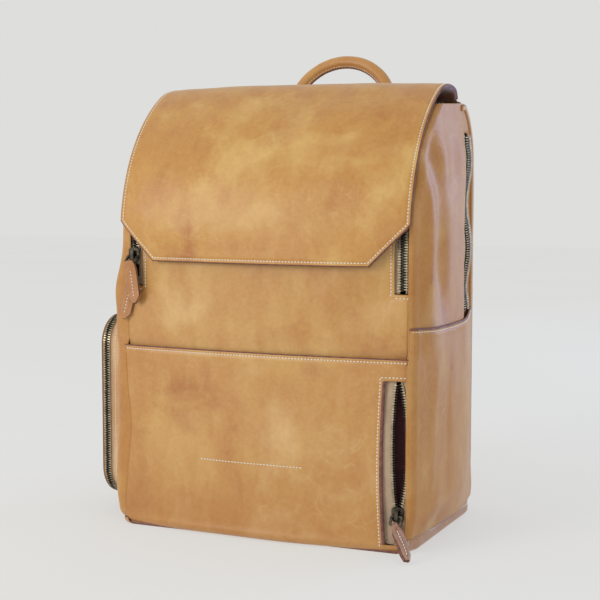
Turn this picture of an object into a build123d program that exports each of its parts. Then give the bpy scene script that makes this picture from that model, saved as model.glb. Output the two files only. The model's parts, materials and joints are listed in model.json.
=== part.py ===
"""Leather flap backpack, in millimetres.

The bag stands on the XY plane with its front facing -Y and its back panel facing +Y.
The origin is the middle of the underside. Every panel, zip, slider, pull and strap is
its own solid, and each is written to parts/NAME.step.
"""
from build123d import *
import os
from math import cos, degrees, radians, sin, sqrt

# ---- driving dimensions ------------------------------------------------------------
HALF_WIDTH = 142.0          # inner face of each side panel
LEATHER = 2.5               # body leather with its lining
SIDE_LEATHER = 3.0
BASE_LEATHER = LEATHER
BASE_LIP = 10.0             # how far the base leather turns up the sides
BOARD_WIDTH = 2 * (HALF_WIDTH - 4)
BOARD_THICK = 3.0           # stiffener in the base, and the laptop divider
LINER = 1.5
OUTER_WIDTH = HALF_WIDTH + SIDE_LEATHER

# side profile of the body, one skin (LEATHER) outside the panels
FRONT_Y = -92.5
BACK_Y = 94.5
SHOULDER = (56.2, 270.2)    # centre of the front arc
SHOULDER_R = SHOULDER[0] - FRONT_Y
TOP_FRONT_Y = -24.0         # where the front arc ends and the top begins
TOP_FRONT = (TOP_FRONT_Y, SHOULDER[1] + sqrt(SHOULDER_R ** 2 - (SHOULDER[0] - TOP_FRONT_Y) ** 2))
REAR_ARC = (40.0, 343.5)    # centre of the rear top arc
REAR_ARC_R = 54.5
BASE_R = 14.0

POCKET_TOP = 171.0          # seam across the front
POCKET_FRONT_Y = -96.0
POCKET_SEAM = 11.0          # band of the front that the pocket is sewn to
POCKET_DEEP = 8.0           # from the front's outer face back to the pocket's liner
MOUTH_HINGE_Z = 226.0       # lower ends of the main zip
ZIP_PANEL_X = 122.0         # edge of the leather beside a front zip

# zip chain: two rows of teeth with a narrow slit between them
ROW_WIDTH = 3.4
SLIT = 1.2
ROW_THICK = 4.5
TAPE = 1.0
MAIN_ZIP_X = 132.5
MAIN_ZIP_CROSS_Y = -11.0
MAIN_ROW_Y = -87.25         # middle of the teeth on the front
MAIN_SLIDER_Z = (255.0, 240.5)

FLAP_THICK = 2.8
FLAP_OUTER_R = 155.0
FLAP_HALF_WIDTH = 143.0
FLAP_BOTTOM = 250.0
FLAP_CHAMFER = 36.0

POCKET_ZIP_X = 132.1
POCKET_ZIP_TOP = 150.0
POCKET_ZIP_BOTTOM = 8.0
POCKET_SLIDER_Z = 35.0
POCKET_ROW_Y = -93.0
POCKET_BOTTOM_R = 8.0
POCKET_ROW_BULGE = (3.4, 4.4)   # how far each open row curves away from the middle

LAPTOP_ZIP_Y = 65.5
LAPTOP_ZIP_LOW = 200.0
LAPTOP_ZIP_HIGH = 368.0
LAPTOP_SLIDER_Z = 212.0
LAPTOP_CROSS_ANGLE = 60.0
LAPTOP_GAP = 7.5            # from the zip's middle to the leather on either side
LAPTOP_TAPE = 11.5          # from the zip's middle to the edge of its tape
TOP_END, BACK_END = LAPTOP_CROSS_ANGLE + 10.4, LAPTOP_CROSS_ANGLE - 10.4   # edges of the leather there

SIDE_POCKET_Y = (-60.0, 50.0)
SIDE_POCKET_Z = (15.0, 192.0)
SIDE_POCKET_R = 28.0
SIDE_POCKET_OUT = 191.0
SIDE_ZIP_X = -180.0
SIDE_ZIP_END_Y = 22.0       # behind this the pocket's edge is plain leather
SIDE_SLIDER_Y = 9.0
SIDE_ZIP_GAP = 7.0          # from that zip's middle to the leather on either side

SLIP_POCKET_TOP = 197.0
SLIP_POCKET_OUT = 158.0
SLIP_POCKET_END_Y = 86.0

BACK_PANEL_HALF = 140.0
BACK_PANEL_Z = (8.0, 372.0)
BACK_PANEL_R = (22.0, 44.0) # its lower and upper corners
BACK_PANEL_THICK = 6.0
BACK_FOAM = (266.0, 322.0, 4.5)     # width, height and thickness of the foam inside the back
BACK_FOAM_Z = 175.0
DIVIDER_Y = 54.0
DIVIDER_HEIGHT = 324.0
DIVIDER_Z = 168.3

HANDLE_HINGE = (88.0, 374.0)
HANDLE_LEAN = 18.4
HANDLE_R = 53.5
HANDLE_LEG = 19.2
HANDLE_DIA = 13.0
HANDLE_WALL = 2.0           # rolled leather round the cord
EAR_WIDE, EAR_TOP = 16.0, 10.2      # the flat ends of the grip
ANCHOR = (22.0, 12.0)       # width and depth of the patch that holds each end
ANCHOR_Z = (355.0, 369.0)

STRAP_TOP = (48.0, 106.5, 336.0)
STRAP_LOW = (112.0, 106.5, 60.0)
STRAP_BOW = 26.0
RING_SIZE = (30.0, 20.0)    # outer width, and height from bar to bar
STRAP_PAD_THICK = 8.0
BAND_HALF, BAND_THICK = 12.5, 3.0

os.makedirs("parts", exist_ok=True)


def save(shape, name):
    """Label one finished piece and write its STEP file."""
    shape.label = name
    export_step(shape, f"parts/{name}.step")


# ---- profiles, drawn in (Y, Z) ---------------------------------------------------------
def body_outline(inset):
    """The side profile of the body, moved in by inset."""
    with BuildSketch() as sk:
        with BuildLine():
            Line((FRONT_Y + BASE_R, 0), (BACK_Y - BASE_R, 0))
            RadiusArc((BACK_Y - BASE_R, 0), (BACK_Y, BASE_R), -BASE_R)
            Line((BACK_Y, BASE_R), (BACK_Y, REAR_ARC[1]))
            top_rear = (REAR_ARC[0], REAR_ARC[1] + REAR_ARC_R)
            RadiusArc((BACK_Y, REAR_ARC[1]), top_rear, -REAR_ARC_R)
            Line(top_rear, TOP_FRONT)
            RadiusArc(TOP_FRONT, (FRONT_Y, SHOULDER[1]), -SHOULDER_R)
            Line((FRONT_Y, SHOULDER[1]), (FRONT_Y, BASE_R))
            RadiusArc((FRONT_Y, BASE_R), (FRONT_Y + BASE_R, 0), -BASE_R)
        make_face()
        if inset:
            offset(amount=-inset)
    return sk.sketch


def skin(outer, inner):
    """The band of the side profile between two insets."""
    with BuildSketch() as sk:
        add(body_outline(outer))
        add(body_outline(inner), mode=Mode.SUBTRACT)
    return sk.sketch


def area(*points):
    """A polygon that picks out a stretch of a profile."""
    with BuildSketch() as sk:
        with BuildLine():
            Polyline(*points, close=True)
        make_face()
    return sk.sketch


def block(low, high):
    return area(low, (high[0], low[1]), high, (low[0], high[1]))


def wedge(start, end):
    """A slice of the rear top arc between two angles from +Y."""
    reach = 90
    tips = [(REAR_ARC[0] + reach * cos(radians(a)), REAR_ARC[1] + reach * sin(radians(a)))
            for a in (start, end)]
    return area(REAR_ARC, *tips)


def across(face, half_width, *stretches):
    """Extrude a profile to both sides of the middle and keep the named stretches of it."""
    with BuildPart() as wall:
        with BuildSketch(Plane.YZ.offset(-half_width)):
            add(face)
        extrude(amount=2 * half_width)
        with BuildSketch(Plane.YZ.offset(-half_width)):
            for stretch in stretches:
                add(stretch)
        extrude(amount=2 * half_width, mode=Mode.INTERSECT)
    return wall.part


def u_band(face, half_outer, y_outer, half_inner, y_inner):
    """The U that runs up both sides of the front and across the top."""
    z_low, z_high = MOUTH_HINGE_Z + 0.3, 420
    with BuildPart() as band:
        with BuildSketch(Plane.YZ.offset(-half_outer)):
            add(face)
        extrude(amount=2 * half_outer)
        with BuildSketch(Plane.YZ.offset(-half_outer)):
            add(block((-120, z_low), (y_outer, z_high)))
        extrude(amount=2 * half_outer, mode=Mode.INTERSECT)
        with BuildSketch(Plane.YZ.offset(-half_inner)):
            add(block((-120, z_low - 1), (y_inner, z_high)))
        extrude(amount=2 * half_inner, mode=Mode.SUBTRACT)
    return band.part


# ---- body panels --------------------------------------------------------------------
with BuildPart() as base_panel:
    base_depth = (FRONT_Y + BASE_R, BACK_Y - BASE_R - LEATHER)
    base_mid = (base_depth[0] + base_depth[1]) / 2
    base_len = base_depth[1] - base_depth[0]
    with BuildSketch():
        with Locations((0, base_mid)):
            Rectangle(2 * (OUTER_WIDTH + LEATHER), base_len)
    extrude(amount=BASE_LEATHER)
    with BuildSketch(Plane.XY.offset(BASE_LEATHER)):
        with Locations((OUTER_WIDTH + LEATHER / 2, base_mid), (-OUTER_WIDTH - LEATHER / 2, base_mid)):
            Rectangle(LEATHER, base_len)
    extrude(amount=BASE_LIP)
save(base_panel.part, "base_panel")

with BuildPart() as base_board:
    with BuildSketch(Plane.XY.offset(BASE_LEATHER)):
        with Locations((0, base_mid + 1)):
            RectangleRounded(BOARD_WIDTH, base_len - 4, 10)
    extrude(amount=BOARD_THICK)
save(base_board.part, "base_board")

with BuildPart() as front_panel:
    add(across(skin(LEATHER, 2 * LEATHER), HALF_WIDTH,
               block((-120, POCKET_TOP - POCKET_SEAM - 2), (0, MOUTH_HINGE_Z))))
    panel_y = FRONT_Y + LEATHER
    with BuildSketch(Plane.XZ.offset(-panel_y)):
        with Locations((0, POCKET_TOP - POCKET_SEAM / 2)):
            Rectangle(2 * HALF_WIDTH, POCKET_SEAM)
    extrude(amount=panel_y - (POCKET_FRONT_Y + LEATHER))
save(front_panel.part, "front_panel")

with BuildPart() as front_pocket_panel:
    with BuildSketch(Plane.YZ.offset(-HALF_WIDTH)):
        with BuildLine():
            r = POCKET_BOTTOM_R
            outer_y, inner_y = POCKET_FRONT_Y, POCKET_FRONT_Y + LEATHER
            Polyline((outer_y + r, LEATHER), (base_depth[0], LEATHER), (base_depth[0], 0), (outer_y + r, 0))
            RadiusArc((outer_y + r, 0), (outer_y, r), r)
            Polyline((outer_y, r), (outer_y, POCKET_TOP), (inner_y, POCKET_TOP), (inner_y, r))
            RadiusArc((inner_y, r), (outer_y + r, LEATHER), LEATHER - r)
        make_face()
    extrude(amount=2 * HALF_WIDTH)
    with BuildSketch(Plane.XZ.offset(60)):
        with Locations(((ZIP_PANEL_X + HALF_WIDTH) / 2 + 2, (POCKET_ZIP_TOP + POCKET_ZIP_BOTTOM) / 2)):
            Rectangle(HALF_WIDTH - ZIP_PANEL_X + 4, POCKET_ZIP_TOP - POCKET_ZIP_BOTTOM)
    extrude(amount=60, mode=Mode.SUBTRACT)
save(front_pocket_panel.part, "front_pocket_panel")

with BuildPart() as front_pocket_liner:
    liner_y, liner_half, liner_low = FRONT_Y + POCKET_DEEP, HALF_WIDTH - 3, 6.3
    with BuildSketch(Plane.YZ.offset(-liner_half)):
        add(block((liner_y, liner_low), (liner_y + LINER, POCKET_TOP + 1)))
        add(block((FRONT_Y + 2 * LEATHER, POCKET_TOP - 1), (liner_y, POCKET_TOP + 1)))
    extrude(amount=2 * liner_half)
save(front_pocket_liner.part, "front_pocket_liner")

top_front = (MAIN_ZIP_CROSS_Y + 11, 340)
top_rear = (REAR_ARC[0] + 90 * cos(radians(TOP_END)), REAR_ARC[1] + 90 * sin(radians(TOP_END)))
save(across(skin(LEATHER, 2 * LEATHER), HALF_WIDTH, area(top_front, REAR_ARC, top_rear, (0, 430))),
     "top_panel")
save(across(skin(LEATHER, 2 * LEATHER), HALF_WIDTH,
            block((base_depth[1] + 0.3, 0), (100, REAR_ARC[1])), wedge(0, BACK_END)), "back_wall")

for name, start in (("side_panel_left", -OUTER_WIDTH), ("side_panel_right", HALF_WIDTH)):
    with BuildPart() as side_panel:
        with BuildSketch(Plane.YZ.offset(start)):
            add(body_outline(LEATHER))
            add(block((LAPTOP_ZIP_Y - LAPTOP_GAP, LAPTOP_ZIP_LOW),
                      (LAPTOP_ZIP_Y + LAPTOP_GAP, LAPTOP_ZIP_HIGH)), mode=Mode.SUBTRACT)
        extrude(amount=SIDE_LEATHER)
    save(side_panel.part, name)

with BuildPart() as back_panel:
    with BuildSketch(Plane.XZ.offset(-(BACK_Y - LEATHER))):
        with BuildLine():
            (low, high), half = BACK_PANEL_Z, BACK_PANEL_HALF
            r_low, r_high = BACK_PANEL_R
            Line((-half, low + r_low), (-half, high - r_high))
            RadiusArc((-half, high - r_high), (-half + r_high, high), r_high)
            Line((-half + r_high, high), (half - r_high, high))
            RadiusArc((half - r_high, high), (half, high - r_high), r_high)
            Line((half, high - r_high), (half, low + r_low))
            RadiusArc((half, low + r_low), (half - r_low, low), r_low)
            Line((half - r_low, low), (-half + r_low, low))
            RadiusArc((-half + r_low, low), (-half, low + r_low), r_low)
        make_face()
    extrude(amount=-BACK_PANEL_THICK)
    fillet(back_panel.faces().sort_by(Axis.Y)[-1].edges(), 2)
save(back_panel.part, "back_panel")

with BuildPart() as back_foam:
    with BuildSketch(Plane.XZ.offset(-(BACK_Y - 2 * LEATHER))):
        with Locations((0, BACK_FOAM_Z)):
            RectangleRounded(BACK_FOAM[0], BACK_FOAM[1], 16)
    extrude(amount=BACK_FOAM[2])
save(back_foam.part, "back_foam")

with BuildPart() as laptop_divider:
    with BuildSketch(Plane.XZ.offset(-DIVIDER_Y)):
        with Locations((0, DIVIDER_Z)):
            RectangleRounded(BOARD_WIDTH, DIVIDER_HEIGHT, 18)
    extrude(amount=BOARD_THICK)
save(laptop_divider.part, "laptop_divider")

# ---- main zip and the mouth it opens ------------------------------------------------------
save(across(skin(LEATHER, 2 * LEATHER), ZIP_PANEL_X,
            block((-120, MOUTH_HINGE_Z + 0.3), (MAIN_ZIP_CROSS_Y - 9, 420))), "mouth_panel")

row_in = SLIT / 2
row_out = SLIT / 2 + ROW_WIDTH
row_inset = MAIN_ROW_Y - ROW_THICK / 2 - FRONT_Y
teeth_skin = skin(row_inset, row_inset + ROW_THICK)
tape_skin = skin(2 * LEATHER, 2 * LEATHER + TAPE)
save(u_band(teeth_skin, MAIN_ZIP_X + row_out, MAIN_ZIP_CROSS_Y + row_out,
            MAIN_ZIP_X + row_in, MAIN_ZIP_CROSS_Y + row_in), "main_zip_teeth_outer")
save(u_band(teeth_skin, MAIN_ZIP_X - row_in, MAIN_ZIP_CROSS_Y - row_in,
            MAIN_ZIP_X - row_out, MAIN_ZIP_CROSS_Y - row_out), "main_zip_teeth_inner")
save(u_band(tape_skin, HALF_WIDTH, MAIN_ZIP_CROSS_Y + 13,
            MAIN_ZIP_X + row_out, MAIN_ZIP_CROSS_Y + row_out), "main_zip_tape_outer")
save(u_band(tape_skin, MAIN_ZIP_X - row_out, MAIN_ZIP_CROSS_Y - row_out,
            ZIP_PANEL_X - 4, MAIN_ZIP_CROSS_Y - 13), "main_zip_tape_inner")

# ---- front pocket zip, standing open above its slider ----------------------------------------
z_mid = (POCKET_SLIDER_Z + POCKET_ZIP_TOP) / 2


def row_edge(x_end, x_mid):
    """One long edge of an open row: straight below the slider, bowed above it."""
    Line((x_end, POCKET_ZIP_BOTTOM), (x_end, POCKET_SLIDER_Z))
    ThreePointArc((x_end, POCKET_SLIDER_Z), (x_mid, z_mid), (x_end, POCKET_ZIP_TOP))


def strip(side, near, far, far_bulge, thick, y_mid):
    """A strip of the open zip, from near to far of its middle line, on one side of it."""
    bulge = POCKET_ROW_BULGE[0] if side < 0 else POCKET_ROW_BULGE[1]
    x_near, x_far = POCKET_ZIP_X + side * near, POCKET_ZIP_X + side * far
    with BuildPart() as made:
        with BuildSketch(Plane.XZ.offset(-y_mid - thick / 2)):
            with BuildLine():
                row_edge(x_near, x_near + side * bulge)
                if far_bulge:
                    row_edge(x_far, x_far + side * bulge)
                else:
                    Line((x_far, POCKET_ZIP_BOTTOM), (x_far, POCKET_ZIP_TOP))
                Line((x_near, POCKET_ZIP_BOTTOM), (x_far, POCKET_ZIP_BOTTOM))
                Line((x_near, POCKET_ZIP_TOP), (x_far, POCKET_ZIP_TOP))
            make_face()
        extrude(amount=thick)
    return made.part


save(Compound(children=[strip(s, row_in, row_out, True, ROW_THICK, POCKET_ROW_Y) for s in (-1, 1)]),
     "pocket_zip_teeth")
save(Compound(children=[
    strip(-1, row_out, POCKET_ZIP_X - ZIP_PANEL_X + 4, False, TAPE, POCKET_ROW_Y),
    strip(1, row_out, HALF_WIDTH - 0.1 - POCKET_ZIP_X, False, TAPE, POCKET_ROW_Y)]), "pocket_zip_tape")

# ---- laptop zip: up both sides and over the rear top ---------------------------------------


def laptop_strip(near, far, thick, x_mid, inset):
    """Both legs and the crossing of one strip of the laptop zip, near..far from its middle line."""
    pieces = []
    low, high = sorted((near, far))
    for side in (-1, 1):
        with BuildPart() as leg:
            with BuildSketch(Plane.YZ.offset(side * x_mid)):
                add(block((LAPTOP_ZIP_Y + low, LAPTOP_ZIP_LOW), (LAPTOP_ZIP_Y + high, LAPTOP_ZIP_HIGH - 2)))
            extrude(amount=thick / 2, both=True)
        pieces.append(leg.part)
    per_mm = degrees(1) / (REAR_ARC_R - LEATHER)
    pieces.append(across(skin(inset, inset + thick), HALF_WIDTH - 4, wedge(
        LAPTOP_CROSS_ANGLE - high * per_mm, LAPTOP_CROSS_ANGLE - low * per_mm)))
    return pieces


save(Compound(children=laptop_strip(-row_out, -row_in, ROW_THICK, HALF_WIDTH, 3)
              + laptop_strip(row_in, row_out, ROW_THICK, HALF_WIDTH, 3)), "laptop_zip_teeth")
tape_x = HALF_WIDTH - TAPE / 2
save(Compound(children=laptop_strip(-LAPTOP_TAPE, -row_out, TAPE, tape_x, 2 * LEATHER)
              + laptop_strip(row_out, LAPTOP_TAPE, TAPE, tape_x, 2 * LEATHER)), "laptop_zip_tape")

# ---- slip pocket on the right side --------------------------------------------------------
with BuildPart() as side_slip_pocket:
    length, wall_low = 2 * SLIP_POCKET_END_Y, BASE_LEATHER + BASE_LIP + 0.3
    depth = SLIP_POCKET_OUT - OUTER_WIDTH
    with BuildSketch(Plane.XY.offset(wall_low)):
        with Locations((OUTER_WIDTH, 0)):
            SlotOverall(length, 2 * depth, rotation=90)
        with Locations((OUTER_WIDTH - 50, 0)):
            Rectangle(100, 400, mode=Mode.SUBTRACT)
    extrude(amount=SLIP_POCKET_TOP - wall_low)
    with BuildSketch(Plane.XY.offset(wall_low + LEATHER)):
        with Locations((OUTER_WIDTH, 0)):
            SlotOverall(length - 2 * LEATHER, 2 * (depth - LEATHER), rotation=90)
    extrude(amount=SLIP_POCKET_TOP, mode=Mode.SUBTRACT)
save(side_slip_pocket.part, "side_slip_pocket")

# ---- zipped pocket on the left side ----------------------------------------------------------


def pocket_edge(outer, inner, x_high, x_low, keep=None):
    """A ring of the side pocket's outline between two insets, from x_high out to x_low."""
    width = SIDE_POCKET_Y[1] - SIDE_POCKET_Y[0]
    height = SIDE_POCKET_Z[1] - SIDE_POCKET_Z[0]
    middle = (sum(SIDE_POCKET_Y) / 2, sum(SIDE_POCKET_Z) / 2)
    with BuildPart() as ring:
        with BuildSketch(Plane.YZ.offset(x_low)):
            with Locations(middle):
                RectangleRounded(width - 2 * outer, height - 2 * outer, SIDE_POCKET_R - outer)
                if inner is not None:
                    RectangleRounded(width - 2 * inner, height - 2 * inner, SIDE_POCKET_R - inner,
                                     mode=Mode.SUBTRACT)
        extrude(amount=x_high - x_low)
        if keep:
            with BuildSketch(Plane.YZ.offset(x_low - 1)):
                add(block((keep[0], 0), (keep[1], 220)))
            extrude(amount=x_high - x_low + 2, mode=Mode.INTERSECT)
    return ring.part


front_part, rear_part = (-100, SIDE_ZIP_END_Y), (SIDE_ZIP_END_Y, 100)
with BuildPart() as side_pocket_gusset:
    add(pocket_edge(0, LEATHER, -OUTER_WIDTH, SIDE_ZIP_X + SIDE_ZIP_GAP))
    add(pocket_edge(0, LEATHER, SIDE_ZIP_X + SIDE_ZIP_GAP, SIDE_ZIP_X + 0.3, rear_part))
save(side_pocket_gusset.part, "side_pocket_gusset")
with BuildPart() as side_pocket_face:
    add(pocket_edge(0, LEATHER, SIDE_ZIP_X - SIDE_ZIP_GAP, -SIDE_POCKET_OUT))
    add(pocket_edge(0, LEATHER, SIDE_ZIP_X - 0.3, SIDE_ZIP_X - SIDE_ZIP_GAP, rear_part))
    add(pocket_edge(LEATHER, None, -SIDE_POCKET_OUT + LEATHER, -SIDE_POCKET_OUT))
save(side_pocket_face.part, "side_pocket_face")
for name, side in (("gusset", 1), ("face", -1)):
    inner_x = sorted((SIDE_ZIP_X + side * row_in, SIDE_ZIP_X + side * row_out))
    tape_x = sorted((SIDE_ZIP_X + side * row_out, SIDE_ZIP_X + side * SIDE_ZIP_GAP))
    save(pocket_edge(-1, -1 + ROW_THICK, inner_x[1], inner_x[0], front_part), f"side_pocket_teeth_{name}")
    save(pocket_edge(1, 1 + TAPE, tape_x[1], tape_x[0], front_part), f"side_pocket_tape_{name}")

# ---- flap -----------------------------------------------------------------------------
flap_front = SHOULDER[0] - FLAP_OUTER_R
ridge = Vector(-22.0, 404.0)
ridge_rise = 30.0           # slope of the flap where the front arc ends
RIDGE_R, HEM_R = 60.0, 12.0
RIDGE_TURN, HEM_TURN = 45, 65


def flap_side(depth):
    """One face of the flap's side profile, depth below its outer face, from the hem at the
    back of the bag over the ridge and down to the front edge."""
    out = Vector(-sin(radians(ridge_rise)), cos(radians(ridge_rise)))
    start = ridge - out * depth
    rising = (cos(radians(ridge_rise)), sin(radians(ridge_rise)))
    over = JernArc(start, rising, RIDGE_R - depth, -RIDGE_TURN)
    turn = JernArc(over @ 1, over % 1, HEM_R - depth, -HEM_TURN)
    hem = Line(turn @ 1, turn @ 1 + (turn % 1) * 1.5)
    front = (flap_front + depth, SHOULDER[1])
    RadiusArc(start, front, depth - FLAP_OUTER_R)
    edge = Line(front, (flap_front + depth, FLAP_BOTTOM))
    return hem @ 1, edge @ 1


with BuildPart() as flap:
    with BuildSketch(Plane.YZ.offset(-FLAP_HALF_WIDTH)):
        with BuildLine():
            outer_hem, outer_edge = flap_side(0)
            inner_hem, inner_edge = flap_side(FLAP_THICK)
            Line(outer_hem, inner_hem)
            Line(outer_edge, inner_edge)
        make_face()
    extrude(amount=2 * FLAP_HALF_WIDTH)
    with BuildSketch(Plane.XZ.offset(80)):
        for side in (-1, 1):
            with BuildLine():
                edge, low = FLAP_HALF_WIDTH + 1, FLAP_BOTTOM - 1
                Polyline((side * edge, low), (side * (edge - FLAP_CHAMFER), low),
                         (side * edge, low + FLAP_CHAMFER), close=True)
            make_face()
    extrude(amount=30, mode=Mode.SUBTRACT)
save(flap.part, "flap")

MAGNET_R, MAGNET_THICK = 8.0, 2.0
magnet_spots = [(-70, 262), (70, 262)]
with BuildPart() as flap_magnets:
    with BuildSketch(Plane.XZ.offset(-(flap_front + FLAP_THICK + MAGNET_THICK))):
        with Locations(*magnet_spots):
            Circle(MAGNET_R)
    extrude(amount=MAGNET_THICK)
save(flap_magnets.part, "flap_magnets")
with BuildPart() as mouth_magnets:
    with BuildSketch(Plane.XZ.offset(-(FRONT_Y + LEATHER))):
        with Locations(*magnet_spots):
            Circle(MAGNET_R)
    extrude(amount=MAGNET_THICK)
save(mouth_magnets.part, "mouth_magnets")

# ---- sliders and pulls ---------------------------------------------------------------------
PIVOT_DROP, PIVOT_OUT = 1.5, 5.5    # the pull's pin, below and outside the slider's middle
RING_DROP = 7.5                     # from that pin to the ring's lower bar
SLIDER_WIDE, SLIDER_LONG = 11.0, 13.0
PLATE_LOW, PLATE_THICK = 2.6, 1.3   # a slider's plates lie this far from the middle of the teeth
BRIDGE = 3.5                        # height of the slider's bridge, which the pin goes through
PIN_HOLE_R = 1.4
RING_WIDE, RING_WIRE = 11.6, 1.8
TAB_THICK = 3.6


def zip_slider(seat, rear_plate):
    """A slider on seat: Y up along the zip, Z out of the bag."""
    with BuildPart() as made:
        with BuildSketch(seat.offset(PLATE_LOW)):
            RectangleRounded(SLIDER_WIDE, SLIDER_LONG, 3)
        extrude(amount=PLATE_THICK)
        if rear_plate:
            with BuildSketch(seat.offset(-PLATE_LOW - PLATE_THICK)):
                RectangleRounded(SLIDER_WIDE, SLIDER_LONG, 3)
            extrude(amount=PLATE_THICK)
        web_low = -PLATE_LOW if rear_plate else 0
        with BuildSketch(seat.offset(web_low)):
            Rectangle(SLIT / 2, SLIDER_LONG - 4)
        extrude(amount=PLATE_LOW - web_low)
        with BuildSketch(seat.offset(PLATE_LOW + PLATE_THICK)):
            Rectangle(3, SLIDER_LONG - 5)
        extrude(amount=BRIDGE)
        pin_hole = Plane(seat.from_local_coords((0, -PIVOT_DROP, PIVOT_OUT)),
                         x_dir=seat.y_dir, z_dir=seat.x_dir)
        with BuildSketch(pin_hole):
            Circle(PIN_HOLE_R)
        extrude(amount=5, both=True, mode=Mode.SUBTRACT)
    return made.part


def pull_seats(seat, ring_tilt, tab_tilt, tab_swing):
    """The ring's plane at the pin, and the tab's plane at the ring's lower bar."""
    pivot = seat.from_local_coords((0, -PIVOT_DROP, PIVOT_OUT))
    ring = Plane(Plane(pivot, x_dir=seat.x_dir, z_dir=seat.z_dir).location * Rotation(-ring_tilt, 0, 0))
    tab = Plane(ring.from_local_coords((0, -RING_DROP, 0)), x_dir=seat.x_dir, z_dir=seat.z_dir)
    return ring, Plane(tab.location * Rotation(-tab_tilt, 0, 0) * Rotation(0, 0, tab_swing))


def pull_ring(ring):
    with BuildPart() as made:
        with BuildSketch(ring.offset(-RING_WIRE / 2)):
            with Locations((0, -RING_DROP / 2)):
                RectangleRounded(RING_WIDE, RING_DROP + RING_WIRE, RING_WIRE)
                RectangleRounded(RING_WIDE - 2 * RING_WIRE, RING_DROP - RING_WIRE, RING_WIRE / 2,
                                 mode=Mode.SUBTRACT)
        extrude(amount=RING_WIRE)
    return made.part


def pull_tab(ring, tab):
    """The leather tab, folded round the ring's lower bar."""
    with BuildPart() as made:
        with BuildSketch(tab.offset(-TAB_THICK / 2)):
            with BuildLine():
                Polyline((-2.8, 1.6), (2.8, 1.6), (2.8, -2.6), (5.6, -8), (6.4, -31), (0, -38.5),
                         (-6.4, -31), (-5.6, -8), (-2.8, -2.6), close=True)
            make_face()
        extrude(amount=TAB_THICK)
        bar = Plane(ring.from_local_coords((0, -RING_DROP, 0)), x_dir=ring.y_dir, z_dir=ring.x_dir)
        with BuildSketch(bar):
            Circle(PIN_HOLE_R)
        extrude(amount=RING_WIDE, both=True, mode=Mode.SUBTRACT)
    return made.part


def front_seat(x, y, z):
    return Plane((x, y, z), x_dir=(1, 0, 0), z_dir=(0, -1, 0))


# name: seat, ring tilt, tab tilt, tab swing, has a rear plate
sliders = {
    "main_upper": (front_seat(-MAIN_ZIP_X, MAIN_ROW_Y, MAIN_SLIDER_Z[0]), 46, 0, 8, False),
    "main_lower": (front_seat(-MAIN_ZIP_X, MAIN_ROW_Y, MAIN_SLIDER_Z[1]), 10, 0, -16, False),
    "pocket": (front_seat(POCKET_ZIP_X, POCKET_ROW_Y, POCKET_SLIDER_Z), 30, 44, 30, True),
    "laptop": (Plane((-HALF_WIDTH, LAPTOP_ZIP_Y, LAPTOP_SLIDER_Z),
                     x_dir=(0, -1, 0), z_dir=(-1, 0, 0)), 0, 0, 0, True),
    "side_pocket": (Plane((SIDE_ZIP_X, SIDE_SLIDER_Y, SIDE_POCKET_Z[1] + 1 - ROW_THICK / 2),
                          x_dir=(-1, 0, 0), z_dir=(0, 0, 1)), 0, 0, 0, True),
}
for name, (seat, ring_tilt, tab_tilt, tab_swing, rear_plate) in sliders.items():
    ring_seat, tab_seat = pull_seats(seat, ring_tilt, tab_tilt, tab_swing)
    save(zip_slider(seat, rear_plate), f"{name}_slider")
    save(pull_ring(ring_seat), f"{name}_pull_ring")
    save(pull_tab(ring_seat, tab_seat), f"{name}_pull_tab")
    print(name, "pull pivot", [round(v, 3) for v in ring_seat.origin])

# ---- handle --------------------------------------------------------------------------------
handle_plane = Plane((0, *HANDLE_HINGE), x_dir=(1, 0, 0), z_dir=(0, -1, 0)).rotated((-HANDLE_LEAN, 0, 0))


def handle_tube(diameter, hollow):
    """The rolled grip: two legs and a half circle, round in section."""
    with BuildPart() as made:
        with BuildLine(handle_plane) as path:
            start = HANDLE_LEG - 11
            Line((-HANDLE_R, start), (-HANDLE_R, HANDLE_LEG))
            RadiusArc((-HANDLE_R, HANDLE_LEG), (HANDLE_R, HANDLE_LEG), HANDLE_R)
            Line((HANDLE_R, HANDLE_LEG), (HANDLE_R, start))
        with BuildSketch(Plane(path.line @ 0, z_dir=path.line % 0)):
            Circle(diameter / 2)
            if hollow:
                Circle(hollow / 2, mode=Mode.SUBTRACT)
        sweep(path=path.line)
    return made.part


with BuildPart() as handle_cover:
    add(handle_tube(HANDLE_DIA, HANDLE_DIA - 2 * HANDLE_WALL))
    for side in (-1, 1):
        with BuildSketch(handle_plane.offset(-1.5)):
            with Locations((side * HANDLE_R, EAR_TOP / 2 - 2)):
                Rectangle(EAR_WIDE, EAR_TOP)
        extrude(amount=3)
save(handle_cover.part, "handle_cover")
with BuildPart() as handle_core:
    add(handle_tube(HANDLE_DIA - 2 * HANDLE_WALL - 0.2, 0))
    with BuildSketch(handle_plane.offset(-2)):
        Rectangle(200, 2 * EAR_TOP + 6)
    extrude(amount=4, mode=Mode.SUBTRACT)
save(handle_core.part, "handle_core")

with BuildPart() as handle_anchors:
    anchor_y = HANDLE_HINGE[0] - 3
    with BuildSketch(Plane.XY.offset(ANCHOR_Z[0])):
        with Locations((-HANDLE_R, anchor_y), (HANDLE_R, anchor_y)):
            Rectangle(*ANCHOR)
    extrude(amount=ANCHOR_Z[1] - ANCHOR_Z[0])
    with BuildSketch(Plane.YZ.offset(-100)):
        add(body_outline(LEATHER))
    extrude(amount=200, mode=Mode.SUBTRACT)
save(handle_anchors.part, "handle_anchors")

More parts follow.
